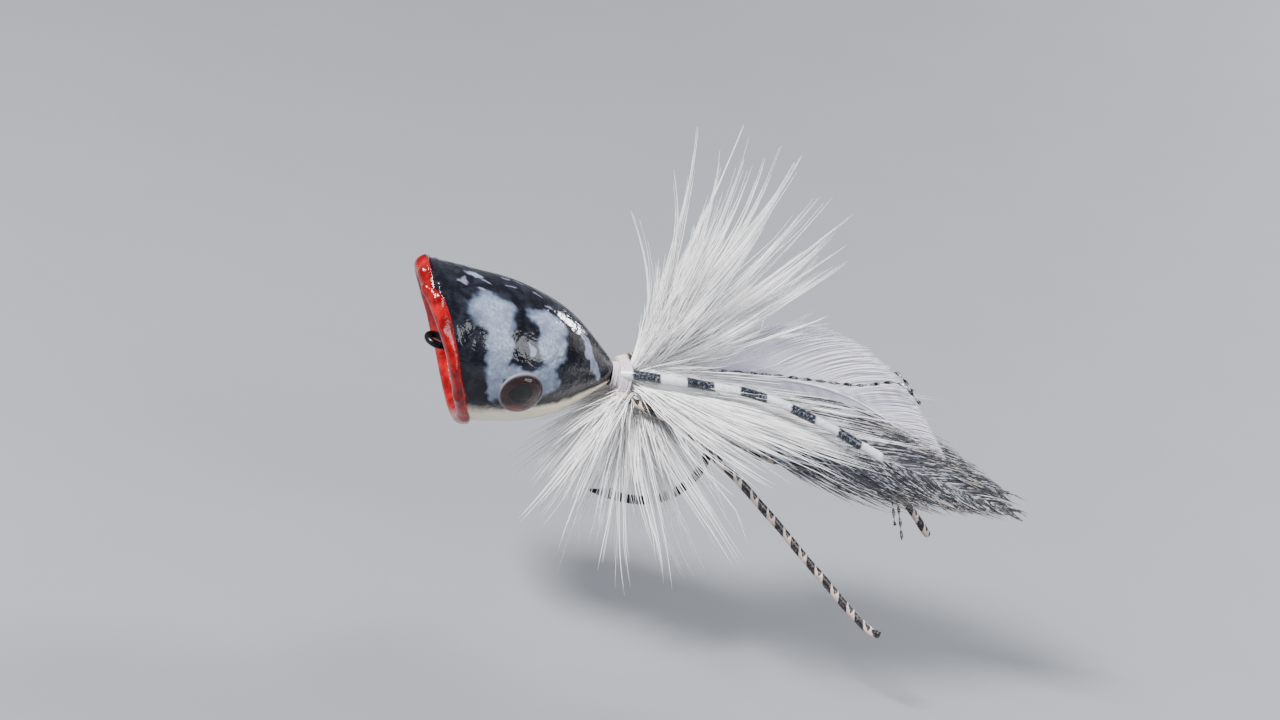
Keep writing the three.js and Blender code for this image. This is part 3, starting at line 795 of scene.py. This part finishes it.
# ---- thread
def thread_paint(name, dark, light):
    p = Paint(name, Roughness=0.55, Sheen_Weight=0.35)
    twist = p.node("TexWave", wave_type="BANDS", bands_direction="X")
    lengthwise = p.times(p.value("length_mm"), 9.0)
    p.feed(twist.inputs["Vector"], p.vector(p.add(lengthwise, p.value("round_x")), 0.0))
    twist.inputs["Scale"].default_value = 1.0
    fuzz = p.noise(5.0, 4.0, 0.6)
    tone = p.math("MULTIPLY_ADD", twist.outputs["Fac"], 0.45, p.times(fuzz, 0.55))
    p.color(p.mix(tone, dark, light))
    p.bump(twist.outputs["Fac"], 0.02, 0.7)
    return p.material


def wrap_path(x0, x1, radius, turns, passes, per_turn=30):
    """Thread wound to and fro along the shank, each pass lying on the one before."""
    pieces = []
    for k in range(passes):
        n = int(turns * per_turn)
        t = linspace(0, 1, n, endpoint=False)
        x = x0 + (x1 - x0) * (t if k % 2 == 0 else 1 - t)
        x = x + 0.05 * sin(t * turns * 2.1 + k)
        angle = 2 * pi * (turns * (t + k) + 0.13 * k)
        r = radius(x) + 0.055 * k + 0.02 * sin(t * 37 + k * 2)
        pieces.append(stack([x, r * cos(angle), r * sin(angle)], 1))
    return np.vstack(pieces)


def make_threads():
    white = thread_paint("pale_thread", rgb(0.50, 0.44, 0.54), rgb(0.86, 0.82, 0.88))
    dark = thread_paint("dark_grip_thread", rgb(0.006, 0.006, 0.007), rgb(0.05, 0.05, 0.055))
    collar = Stock()
    swell = lambda x: 0.92 + 0.24 * sin(pi * clip((x - 16.1) / 2.0, 0, 1))
    tube(collar, wrap_path(*COLLAR, swell, 15, 3), COLLAR_THREAD_R, 7, face=BACK)
    # Lashing turns over the roots of the legs, along the outline that the four legs make.
    lash = linspace(0, 2 * pi * LASH_TURNS, 900)
    power = 0.62
    c, s = cos(lash), sin(lash)
    lashing = stack(
        [16.86 + lash / (2 * pi * LASH_TURNS) * 1.1 + 0.05 * sin(lash * 0.37),
        2.06 * np.sign(c) * np.abs(c) ** power, 1.36 * np.sign(s) * np.abs(s) ** power], 1
    )
    tube(collar, lashing, LASHING_R, 7, face=BACK)
    collar.build("collar_wraps", white, "lure", "white_thread", ["collar_thread"])
    tail = Stock()
    tube(tail, wrap_path(*TAIL_TIE, lambda x: 0.50 + 0 * x, 17, 2), TAIL_THREAD_R, 7, face=BACK)
    tail.build("tail_wraps", white, "lure", "white_thread", ["tail_thread"])
    grip = Stock()
    line = spline(hook_line()[2:10], 900)
    angle = linspace(0, 2 * pi * GRIP_TURNS, len(line))
    forward = unit(np.gradient(line, axis=0))
    over = np.cross(forward, ACROSS)
    coil = line + (WIRE_R + 0.07) * (cos(angle)[:, None] * ACROSS + sin(angle)[:, None] * over)
    tube(grip, coil, GRIP_THREAD_R, 6, face=BACK)
    grip.build("shank_grip_wraps", dark, "lure", "dark_thread", ["shank_thread"])


# ---- hackle
def hackle_paint():
    p = Paint("hackle_barbs", Roughness=0.5, Sheen_Weight=0.25, Specular_IOR_Level=0.35)
    along, tone = p.value("along"), p.value("tone")
    root = p.mix(tone, rgb(0.97, 0.96, 0.98), rgb(1.0, 1.0, 1.0))
    tip = p.mix(tone, rgb(0.92, 0.92, 0.94), rgb(1.0, 0.99, 0.98))
    streak = p.noise(2.2, 3.0)
    colour = p.mix(along, root, tip)
    p.color(p.mix(p.ramp(streak, 0.2, 0.5, 0.2, 0.0), colour, rgb(0.84, 0.82, 0.85)))
    return p.material


def fan_paths(rng, clock, sweep, length, steps, bend, sway=0.03):
    """Barbs that leave the shank at an angle of sweep degrees, in a plane turned by clock degrees."""
    count = len(clock)
    t = linspace(0, 1, steps)[None]
    angle = radians(sweep)[:, None] + np.reshape(bend, (-1, 1)) * t**1.2 + sway * wander(rng, count, steps)
    turn = radians(clock)[:, None] + sway * wander(rng, count, steps)
    step = stack([cos(angle), -sin(angle) * sin(turn), sin(angle) * cos(turn)], -1)
    root = radians(clock)
    start = [HACKLE_X + rng.uniform(-0.75, 0.55, count), -BARB_ROOT_R * sin(root), BARB_ROOT_R * cos(root)]
    return stack(start, -1)[:, None] + walked(step) / (steps - 1) * np.asarray(length)[:, None, None]


def laid_outside_tail(rng, paths, side):
    """Side barbs that lie back along the tail pass outside its feathers."""
    least = TAIL_HALF_WIDTH + rng.uniform(0, 0.5, (len(paths), 1))
    least = least * smoothstep(19.2, 21.8, paths[..., 0])
    outer = side * paths[..., 1]
    # A soft maximum keeps the barbs smoothly curved where they are pushed out.
    gap = outer - least
    paths[..., 1] = side * (least + 0.5 * (gap + sqrt(gap**2 + 0.04)))
    return paths


def pressed_under_legs(paths):
    """Barbs that cross a leg are bent in beneath it, with room for the leg to swing a little inwards."""
    for points in LEG_PATHS.values():
        leg = spline(points, 200)
        rise = copysign(0.36, points[0][2])
        out = np.array([0.0, copysign(0.93, points[0][1]), rise])
        along = np.array([0.0, -out[2], out[1]])
        at = stack([interp(paths[..., 0], leg[:, 0], leg[:, k]) for k in range(3)], -1)
        gap = paths - at
        lift, beside = gap @ out, np.abs(gap @ along)
        near = smoothstep(1.7, 0.9, beside) * smoothstep(leg[0, 0] + 0.8, leg[0, 0] + 2.4, paths[..., 0])
        near = near * (paths[..., 0] < leg[-1, 0])
        room = 0.55 + 0.07 * (paths[..., 0] - leg[0, 0])
        paths = paths - (clip(lift + room, 0, 6) * near)[..., None] * out
    return paths


def drawn_together(paths, lengths, leaders, leader_lengths, group, pull):
    """Draws each barb towards its leader, at the same distance out, so that a bunch tapers to one spike."""
    steps = paths.shape[1]
    u = linspace(0, 1, steps)[None]
    place = clip(u * (lengths / leader_lengths[group])[:, None], 0, 1) * (steps - 1)
    low = np.minimum(place.astype(int), steps - 2)
    part = (place - low)[..., None]
    rows = group[:, None]
    lead = leaders[rows, low] * (1 - part) + leaders[rows, low + 1] * part
    weight = interp(u[0], *pull)[None, :, None]
    return paths + weight * (lead - paths)


def barb_radius(rng, count, steps, thick=0.06):
    t = linspace(0, 1, steps)[None]
    return thick * rng.uniform(0.75, 1.25, (count, 1)) * (1 - t**1.6) ** 0.8 + 0.006


# Spikes of the top bunch: sweep in degrees from +X and length in millimetres.
TOP_SPIKES = [
    (104, 15.3), (97, 16), (93, 20), (91.5, 23), (90, 20.5), (88, 22.5), (85.5, 24.5), (82.5, 26), (81, 22),
    (79, 24), (76, 21.5), (74, 25), (71.5, 23), (69, 24.5), (66.5, 21), (64, 22.5), (61, 23), (58, 24),
    (55.5, 24), (53, 20.5), (50.5, 22.5), (48, 20), (45, 22.5), (42, 22), (39.5, 20), (37.5, 21.5),
    (34, 18.5), (31, 17), (28, 15)
]
STRAY_SPIKES = 2  # the first ones, which have one barb beside their leader
TOP_LEAN = 9  # degrees by which the top barbs start flatter than their spike, before they curl up
TAIL_HALF_WIDTH = 2.5
SIDE_BUNCH = dict(sweep=(6, 66), length=(12, 24), groups=96, each=8, tight=0.62, fluff=700, bend=-0.14)
LOWER_BUNCH = dict(sweep=(36, 140), length=(9, 21), groups=58, each=7, tight=0.7, fluff=520, bend=-0.10)
# Each bunch: degrees round the shank from the top towards the left, sweep, length, how many spikes and barbs
# in each, how tightly they draw together, how many short soft barbs, and how far a barb bends, in radians.
HACKLES = {
    "top": dict(clock=(-24, 24), sweep=(20, 76), length=(11, 18), groups=70, each=12, tight=0.92, fluff=2950,
    bend=0.34), "left": dict(clock=(56, 118), **SIDE_BUNCH), "right": dict(clock=(-118, -56), **SIDE_BUNCH),
    "lower_left": dict(clock=(120, 182), **LOWER_BUNCH),
    "lower_right": dict(clock=(-182, -120), **LOWER_BUNCH)
}


def make_hackle(name, paint, seed, clock, sweep, length, groups, each, tight, fluff, bend):
    rng = np.random.default_rng(SEED + seed)
    steps = 16
    stock = Stock()
    middle, half = sum(clock) / 2, (clock[1] - clock[0]) / 2
    lead_sweep = rng.uniform(*sweep, groups)
    reach = 1 - 0.35 * clip(np.abs(lead_sweep - 80) / 60, 0, 1) ** 2
    lead_length = (length[0] + (length[1] - length[0]) * rng.beta(1.5, 1.2, groups)) * reach
    if name == "top":
        spikes = np.array(TOP_SPIKES)
        lead_sweep[: len(spikes)], lead_length[: len(spikes)] = spikes[:, 0] - TOP_LEAN, spikes[:, 1]
    if name in SIDES:
        # The side bunches lie back along the tail, longest where they lie flattest.
        lead_sweep = sweep[0] + (sweep[1] - sweep[0]) * rng.beta(1.0, 1.7, groups)
        lead_length *= 1 + 0.45 * smoothstep(40, 10, lead_sweep)
    lead_clock = middle + half * clip(rng.normal(0, 0.5, groups), -1, 1)
    bends = bend + rng.normal(0, 0.13, groups)
    leaders = fan_paths(rng, lead_clock, lead_sweep, lead_length, steps, bends, sway=0.035)
    members = np.full(groups, each)
    if name == "top":
        members[:STRAY_SPIKES] = 1
    group = np.repeat(np.arange(groups), members)
    count = len(group)
    lengths = lead_length[group] * rng.uniform(0.62, 1.0, count)
    barbs = fan_paths(
        rng, lead_clock[group] + rng.normal(0, 7, count), lead_sweep[group] + rng.normal(0, 5, count),
        lengths, steps, bends[group]
    )
    pull = ([0, 0.15, 0.5, 0.85, 1], [0, 0.15, 0.75 * tight, tight, tight])
    barbs = drawn_together(barbs, lengths, leaders, lead_length, group, pull)

    def settled(paths):
        return pressed_under_legs(laid_outside_tail(rng, paths, SIDES[name]) if name in SIDES else paths)

    for paths, thick in ((leaders, 0.085), (barbs, 0.066)):
        paths = settled(paths)
        barb = barb_radius(rng, len(paths), steps, thick)
        facing = rng.normal(0, 1, (len(paths), 1, 3))
        strands(stock, paths, barb, face=facing, tone=rng.uniform(0, 1, (len(paths), 1)))
    # Short soft barbs fill the foot of the bunch.
    clocks = middle + half * clip(rng.normal(0, 0.6, fluff), -1.3, 1.3)
    sweeps = rng.uniform(sweep[0] - 3, sweep[1] + 4, fluff)
    lengths = 2.5 + 9.0 * rng.beta(1.3, 1.6, fluff)
    paths = settled(fan_paths(rng, clocks, sweeps, lengths, 7, bend, sway=0.08))
    thick = barb_radius(rng, fluff, 7, 0.064)
    strands(stock, paths, thick, face=rng.normal(0, 1, (fluff, 1, 3)), tone=rng.uniform(0, 1, (fluff, 1)))
    body = with_tail(SIDE_BEND) if name in SIDES else "lure"
    stock.build("hackle_barbs_" + name, paint, body, "hackle_white", ["hackle_" + name])


def make_stems(paint):
    for name, x in (("front", HACKLE_X - STEM_APART), ("back", HACKLE_X + STEM_APART)):
        stock = Stock()
        angle = linspace(0, 2 * pi * STEM_TURNS, 90)
        path = stack([x + 0.12 * sin(angle * 0.52), STEM_COIL_R * cos(angle), STEM_COIL_R * sin(angle)], 1)
        tube(stock, path, STEM_R + 0.02 * sin(angle * 5), 9, face=BACK, tone=0.5)
        stock.build("wound_stem_" + name, paint, "lure", "hackle_white", ["hackle_stem_" + name])


# ---- rubber legs
BAR_SHARE = 0.52  # of each pitch that is black
LEG_R = 0.385
UPPER_LEG_R = 0.43
LEG_PATHS = {
    "leg_left_upper": [(16.9, -1.58, 0.85), (18.4, -2.2, 1.25), (20.6, -2.85, 1.6), (24.2, -3.4, 2.05),
    (29.2, -4.1, 2.25), (34.0, -4.8, 1.55), (38.0, -5.4, 0.5), (41.6, -5.8, -0.8)],
    "leg_left_lower": [(16.9, -1.58, -0.85), (18.4, -2.2, -1.35), (20.6, -2.75, -1.75), (23.7, -3.2, -2.6),
    (29.6, -4.7, -6.1), (36.1, -6.5, -10.7), (41.2, -7.8, -14.4), (44.4, -8.7, -16.6), (45.6, -9.0, -16.8)],
    "leg_right_upper": [(16.9, 1.58, 0.85), (18.4, 2.2, 1.25), (20.6, 2.85, 1.65), (25.0, 3.6, 1.95),
    (31.0, 4.7, 1.3), (37.5, 6.0, -1.2), (44.0, 7.6, -5.4), (50.0, 9.0, -10.2), (54.0, 9.9, -14.0)],
    "leg_right_lower": [(16.9, 1.58, -0.85), (18.4, 2.2, -1.35), (20.6, 2.75, -1.95), (23.5, 3.1, -3.2),
    (27.7, 3.7, -5.1), (32.0, 4.4, -6.7), (36.6, 5.1, -7.2), (41.0, 5.8, -6.7)]
}


def leg_paint(name, ground, ground_2, bar, pitch, slant, half_bars, roughness):
    """Round rubber with a bar every pitch millimetres; half_bars adds a small triangle between the bars."""
    p = Paint(name, Roughness=roughness, Specular_IOR_Level=0.5)
    length, rx, ry = p.value("length_mm"), p.value("round_x"), p.value("round_y")
    ragged = p.math("MULTIPLY_ADD", p.noise(5.0, 3.0), 0.30, -0.15)
    leaned = p.add(p.math("MULTIPLY_ADD", ry, slant, length), ragged)
    phase = p.math("FRACT", p.math("DIVIDE", leaned, pitch))
    near = p.math("ABSOLUTE", p.math("SUBTRACT", phase, 0.5))
    bars = p.ramp(near, BAR_SHARE / 2 + 0.025, BAR_SHARE / 2 - 0.025)
    if half_bars:
        shifted = p.math("FRACT", p.add(p.math("DIVIDE", leaned, pitch), 0.5))
        width = p.math("ABSOLUTE", p.math("SUBTRACT", shifted, 0.5))
        reach = p.ramp(ry, 0.0, 0.9, 0.0, 0.16, smooth=False)
        triangle = p.math("LESS_THAN", width, reach)
        bars = p.math("MAXIMUM", bars, triangle)
    bars = p.times(bars, p.ramp(length, 0.9, 1.2))
    mottle = p.noise(3.0, 4.0, 0.6)
    base = p.mix(p.ramp(mottle, 0.3, 0.7), ground, ground_2)
    worn = p.ramp(p.noise(5.0, 4.0, 0.7), 0.28, 0.50, 0.55, 1.0)
    p.color(p.mix(p.times(bars, worn), base, bar))
    p.bump(p.add(mottle, bars), 0.02, 0.5)
    return p.material


def make_legs():
    tan = leg_paint(
        "barred_tan_rubber", rgb(0.52, 0.38, 0.32), rgb(0.74, 0.62, 0.56), rgb(0.006, 0.006, 0.008),
        pitch=2.35, slant=0.42, half_bars=True, roughness=0.38
    )
    clear = leg_paint(
        "barred_clear_rubber", rgb(0.48, 0.51, 0.56), rgb(0.68, 0.69, 0.73), rgb(0.007, 0.011, 0.020),
        pitch=4.9, slant=0.10, half_bars=False, roughness=0.22
    )
    for name, points in LEG_PATHS.items():
        upper = name == "leg_left_upper"
        path = spline(points, 260)
        t = linspace(0, 1, len(path))
        wave = 0.03 * sin(t * 34) + 0.04 * sin(t * 13 + 1)
        path = path + np.outer(wave * smoothstep(0, 0.2, t), UP)
        radius = (UPPER_LEG_R if upper else LEG_R) * (1 + 0.03 * sin(t * 60) + 0.02 * sin(t * 23 + 2))
        end = clip((1 - t) * 90, 0, 1)
        radius = radius * (0.86 + 0.14 * sqrt(end))
        stock = Stock()
        tube(stock, path, radius, 16, face=UP)
        body = name.replace("leg_", "") + "_leg"
        root, bent = Vector(points[0]) * MM, Vector(points[2]) * MM
        stock.build(
            name + "_rubber", clear if upper else tan, ("lure", body, root, bent), "barred_rubber", [name]
        )


# ---- tail feathers
QUILL_R = (0.24, 0.03)  # at the root and at the tip
WHITE_FEATHER = dict(
    line=[(20.6, 0.1), (26, 1.9), (32, 3.2), (38.5, 2.7), (44.5, 0.2), (49.5, -3.4), (53.6, -6.0)],
    above=[0.28, 1.8, 4.6, 4.9, 4.0, 2.4, 1.2, 0.2], below=[0.28, 1.0, 2.4, 3.2, 3.0, 2.2, 1.2, 0.3]
)
GRIZZLY_FEATHER = dict(
    line=[(20.6, -0.2), (27, -0.4), (34, -0.9), (41, -2.0), (48, -3.2), (53, -4.2), (57.0, -5.0)],
    above=[0.28, 1.3, 2.4, 3.2, 3.5, 2.9, 1.8, 0.4], below=[0.28, 2.3, 4.3, 5.0, 4.9, 4.0, 2.4, 0.4]
)


def partings(rng, barbs, count):
    """Places where the vane has parted: the barbs after one lie closer to the quill."""
    closer = np.zeros(barbs)
    for _ in range(count):
        k, run = rng.integers(barbs // 8, barbs), rng.integers(4, 14)
        closer[k : k + run] += rng.uniform(0.05, 0.22) * linspace(1, 0, len(closer[k : k + run]))
    return closer[:, None]


def add_vane(stock, rng, spine, sign, widths, y, barbs, open_angle, close_angle, split, blade, loose):
    """One side of a feather: overlapping flat barbs that leave the quill and sweep to the tip."""
    steps, travelled = 14, linspace(0, 1, len(spine))
    tangent = unit(np.gradient(spine, axis=0))
    headings = arctan2(tangent[:, 1], tangent[:, 0])
    spine_length = distance_along(spine)[-1]
    u = linspace(0, 1, steps)[None]
    t = clip(linspace(0.02, 0.992, barbs) + rng.uniform(-0.3, 0.3, barbs) / barbs, 0.01, 0.995)
    start = stack([interp(t, travelled, spine[:, k]) for k in (0, 1)], 1)
    root_angle, tip_angle = radians(open_angle), radians(close_angle)
    lean = root_angle + (tip_angle - root_angle) * u**0.8 - partings(rng, barbs, split) * (0.3 + 0.7 * u)
    lean = lean + 0.07 * loose * wander(rng, barbs, steps)
    rise, forward = np.maximum(sin(lean).mean(1), 0.12), cos(lean).mean(1)
    ragged = rng.uniform(1 - 0.35 * loose, 1.04, barbs)
    places = linspace(0, 1, len(widths))
    width = interp(t, places, widths)
    for _ in range(6):
        # The vane's outline is met where the barb ends, not where it starts.
        end = clip(t + width / rise * forward / spine_length, 0, 1)
        width = 0.5 * (width + interp(end, places, widths) * ragged)
    length = width / rise
    # A barb bends with the quill beside it.
    beside = t[:, None] + u * (length * forward)[:, None] / spine_length
    angle = interp(beside, travelled, headings) + sign * lean
    flat = stack([cos(angle), sin(angle)], -1) * (length / (steps - 1))[:, None, None]
    flat = start[:, None] + walked(flat)
    cupping = 0.10 * (u * width[:, None] / 4) ** 2
    layer = 0.035 * np.where(np.arange(barbs) % 2 == 0, 1, -1)[:, None] * (1 - 0.5 * u)
    flutter = 0.05 * wander(rng, 1, barbs, 9).T * u + 0.10 * loose * wander(rng, barbs, steps) * u
    depth = y + copysign(1, y) * (cupping + flutter) + layer
    half = blade * spine_length / barbs * (1 - 0.55 * u**2) * np.ones((barbs, 1))
    half = np.maximum(half * (1 - u**6) + 0.01, 0.012)
    tone = clip(0.5 + loose * rng.normal(0, 0.4, (barbs, 1)) + 0.12 * wander(rng, 1, barbs, 12).T, 0, 1)
    bar = (t * 38)[:, None] + 0.55 * u * width[:, None]
    paths = stack([flat[..., 0], depth, flat[..., 1]], -1)
    strands(stock, paths, half, np.full((barbs, steps), 0.016), face=ACROSS, sides=4, tone=tone, bar=bar)


def add_tufts(stock, rng, spine, y, count):
    """Loose web at the foot of the feather."""
    travelled, steps = linspace(0, 1, len(spine)), 9
    t = rng.uniform(0.03, 0.30, count)
    start = stack([interp(t, travelled, spine[:, 0]), 0 * t + y, interp(t, travelled, spine[:, 1])], 1)
    lean = radians(rng.uniform(18, 70, count)) * rng.choice([-1, 1], count)
    reach = rng.uniform(2.0, 5.0, count)
    lean = lean[:, None] * (1 - 0.6 * linspace(0, 1, steps)[None]) + 0.14 * wander(rng, count, steps)
    step = stack([cos(lean), 0.05 * wander(rng, count, steps), sin(lean)], -1)
    paths = start[:, None] + walked(step * (reach / (steps - 1))[:, None, None])
    radius = barb_radius(rng, count, steps, 0.04)
    strands(stock, paths, radius, face=ACROSS, tone=rng.uniform(0, 1, (count, 1)), bar=0.0)


def feather(name, spec, y, seed, paint, slot, web, **vane):
    """One feather: a vane on each side of a tapered quill, and loose web at its foot."""
    rng = np.random.default_rng(SEED + seed)
    spine = spline(spec["line"], 300)
    stock = Stock()
    for sign, edge in ((1, "above"), (-1, "below")):
        add_vane(stock, rng, spine, sign, spec[edge], y, **vane)
    quill = stack([spine[:, 0], np.full(len(spine), y), spine[:, 1]], 1)[: int(len(spine) * 0.98)][None, ::4]
    strands(stock, quill, linspace(*QUILL_R, quill.shape[1]), face=ACROSS, sides=8, tone=0.9, bar=0.0)
    add_tufts(stock, rng, spine, y, web)
    stock.build(name + "_vane", paint, with_tail(TAIL_BEND), slot, [name])


def white_feather_paint():
    p = Paint("white_feather_web", Roughness=0.6, Sheen_Weight=0.3, Specular_IOR_Level=0.3)
    along, tone = p.value("along"), p.value("tone")
    cloud = p.noise(0.25, 3.0)
    # The feather is white; its lilac-grey tones are painted shade, the colour the white web takes in shadow,
    # with darker clouds at random.
    pale = p.mix(tone, rgb(0.60, 0.575, 0.70), rgb(0.78, 0.76, 0.85))
    edge = p.mix(p.ramp(along, 0.55, 1.0), pale, rgb(0.72, 0.70, 0.80))
    p.color(p.mix(p.ramp(cloud, 0.35, 0.65, 0.0, 0.35), edge, rgb(0.58, 0.56, 0.68)))
    ribs = p.noise(6.0, 2.0)
    p.bump(ribs, 0.02, 0.5)
    return p.material


def grizzly_paint():
    p = Paint("grizzly_feather_web", Roughness=0.6, Sheen_Weight=0.25, Specular_IOR_Level=0.35)
    bar, tone, along = p.value("bar"), p.value("tone"), p.value("along")
    x, y, z = p.apart(p.position())
    stretched = p.vector(p.times(x, 0.42), y, p.times(z, 1.7))
    ragged = p.math("MULTIPLY_ADD", p.noise(1.0, 5.0, 0.7, at=stretched), 9.0, -4.5)
    place = p.add(p.times(bar, 0.55), p.add(ragged, p.times(tone, 2.2)))
    wave = p.math("SINE", p.times(place, 2 * pi / 3.1))
    pale_near = p.ramp(x, 26.0, 42.0, 1.05, 0.0)
    dark = p.ramp(p.math("SUBTRACT", wave, pale_near), -0.95, -0.10)
    black = p.mix(tone, rgb(0.012, 0.013, 0.017), rgb(0.055, 0.055, 0.065))
    white = p.mix(tone, rgb(0.25, 0.26, 0.31), rgb(0.52, 0.53, 0.60))
    brown = p.mix(p.ramp(along, 0.6, 1.0), white, rgb(0.40, 0.33, 0.26))
    p.color(p.mix(dark, brown, black))
    p.bump(p.noise(7.0, 2.0), 0.02, 0.5)
    return p.material


def make_tail():
    white, grizzly = white_feather_paint(), grizzly_paint()
    for (name, y), seed in zip(SIDES.items(), (30, 40)):
        feather(
            "white_feather_" + name, WHITE_FEATHER, 1.06 * y, seed, white, "feather_white", barbs=300,
            open_angle=44, close_angle=24, split=3, blade=1.5, web=120, loose=0.12
        )
        feather(
            "grizzly_feather_" + name, GRIZZLY_FEATHER, 2.02 * y, seed + 1, grizzly, "feather_grizzly",
            barbs=230, open_angle=26, close_angle=7, split=34, blade=0.42, web=90, loose=1.0
        )


# ---- flash
FLASH_PATHS = {
    "upper": [(20.8, 0.9), (24.5, 2.7), (31, 3.6), (38.5, 4.2), (42.4, 5.2), (45.1, 3.6)],
    "lower": [(20.8, -0.9), (27, -1.1), (36, -1.6), (42.9, -3.3), (45.6, -6.0), (47.5, -10.1)]
}
FLASH_Y = 1.54
FLASH_HALF = (0.15, 0.022)  # half the width and half the thickness of the film
FLASH_TWIST = 2.6  # length of one turn


def flash_paint():
    p = Paint("flash_film", Metallic=0.9, Roughness=0.16)
    length = p.value("length_mm")
    flick = p.noise(1.0, 3.0, 0.7, at=p.vector(p.times(length, 1.4), 0.0))
    p.color(p.mix(p.ramp(flick, 0.42, 0.60), rgb(0.015, 0.016, 0.02), rgb(0.62, 0.66, 0.72)))
    p.roughness(p.ramp(flick, 0.3, 0.7, 0.12, 0.3))
    return p.material


def make_flash():
    paint = flash_paint()
    for level, points in FLASH_PATHS.items():
        for prefix, side in SIDES.items():
            stock = Stock()
            path = spline([(x, side * FLASH_Y, z) for x, z in points], 260)
            travelled = distance_along(path)
            strands(
                stock, path[None], *FLASH_HALF, face=ACROSS, sides=4,
                turn=(travelled * 2 * pi / FLASH_TWIST + side)[None], length_mm=travelled[None]
            )
            name = "flash_%s_%s" % (prefix, level)
            stock.build(name + "_film", paint, with_tail(TAIL_BEND), "flash_film", [name])


# ---- stage, light and camera
FLOOR_GAP = 0.004  # metres from the CAD model's lowest point down to the floor
FLOOR_HALF = 9.0  # metres
# The paler far floor is painted light, standing in for lamp light.
FLOOR_NEAR, FLOOR_FAR = 280.0, 1300.0  # millimetres out, where the floor starts and stops turning paler


def floor_paint():
    p = Paint("pale_floor", Roughness=0.7)
    grain = p.noise(0.05, 3.0)
    near = p.mix(grain, rgb(0.20, 0.21, 0.23), rgb(0.215, 0.225, 0.245))
    # Painted light: far from the lamps the floor's colour turns paler, standing in for the light that falls
    # off there, so that it meets the backdrop without a dark horizon.
    p.color(p.mix(p.ramp(p.length(p.position()), FLOOR_NEAR, FLOOR_FAR), near, rgb(0.96, 0.96, 0.96)))
    return p.material


def make_stage():
    low = CAD_BOX[0][2] - FLOOR_GAP
    corners = [(-1, -1), (1, -1), (1, 1), (-1, 1)]
    mesh = bpy.data.meshes.new("floor")
    mesh.from_pydata([(x * FLOOR_HALF, y * FLOOR_HALF, low) for x, y in corners], [], [(0, 1, 2, 3)])
    mesh.materials.append(floor_paint())
    floor = placed("floor", mesh)
    world = bpy.data.worlds.new("studio")
    bpy.context.scene.world = world
    world.use_nodes = True
    backdrop = world.node_tree.nodes["Background"].inputs
    backdrop["Color"].default_value = rgb(0.80, 0.86, 1.0)
    backdrop["Strength"].default_value = 0.28


def area_light(name, place, target, size, power, color):
    light = bpy.data.lights.new(name, "AREA")
    light.shape = "DISK"
    light.size = size
    light.energy = power
    light.color = color
    lamp = placed(name, light)
    lamp.location = place
    lamp.rotation_euler = (Vector(target) - Vector(place)).to_track_quat("-Z", "Y").to_euler()


VIEW_AZIMUTH = radians(-14)
VIEW_ELEVATION = radians(20)
VIEW_ROLL = radians(16.1)
VIEW_DISTANCE = 0.28
VIEW_WIDTH = 0.1152
AIM = Vector((0.0178, -0.00326, 0.00314))


def view_axes():
    sa, ca = sin(-VIEW_AZIMUTH), cos(VIEW_AZIMUTH)
    se, ce = sin(VIEW_ELEVATION), cos(VIEW_ELEVATION)
    towards = Vector((-sa * ce, -ca * ce, se))
    level = Vector((ca, -sa, 0))
    rise = Vector((sa * se, ca * se, ce))
    right = level * cos(VIEW_ROLL) + rise * sin(VIEW_ROLL)
    up = rise * cos(VIEW_ROLL) - level * sin(VIEW_ROLL)
    return right, up, towards


def make_camera():
    right, up, towards = view_axes()
    camera = bpy.data.cameras.new("camera")
    camera.sensor_width = 36
    camera.lens = 36 * VIEW_DISTANCE / VIEW_WIDTH
    camera.clip_start = 0.01
    camera.clip_end = 20
    holder = placed("camera", camera)
    turn = Matrix((right, up, towards)).transposed().to_4x4()
    holder.matrix_world = Matrix.Translation(AIM + towards * VIEW_DISTANCE) @ turn
    bpy.context.scene.camera = holder


# Lamps: place to the camera's right, up and towards it from the lure in metres, size, power and colour.
LAMPS = [
    ("key", (-0.20, 0.34, 0.30), 0.13, 7.6, (1.0, 0.98, 0.95)),
    ("fill", (0.45, 0.05, 0.35), 0.35, 2.6, (0.92, 0.96, 1.0)),
    ("rim", (0.34, 0.30, -0.30), 0.12, 3.2, (0.95, 0.97, 1.0))
]


def make_lights():
    right, up, towards = view_axes()
    middle = Vector((0.025, 0, 0.0))
    for name, (r, u, t), size, power, color in LAMPS:
        area_light(name, middle + right * r + up * u + towards * t, middle, size, power, color)


# ---- the lure
make_camera()
make_stage()
make_lights()
make_head()
make_filler()
make_enamel()
make_eyes()
make_hook()
make_threads()
HACKLE_WHITE = hackle_paint()
make_stems(HACKLE_WHITE)
for number, (bunch, spec) in enumerate(HACKLES.items()):
    make_hackle(bunch, HACKLE_WHITE, 10 + number, **spec)
make_legs()
make_tail()
make_flash()
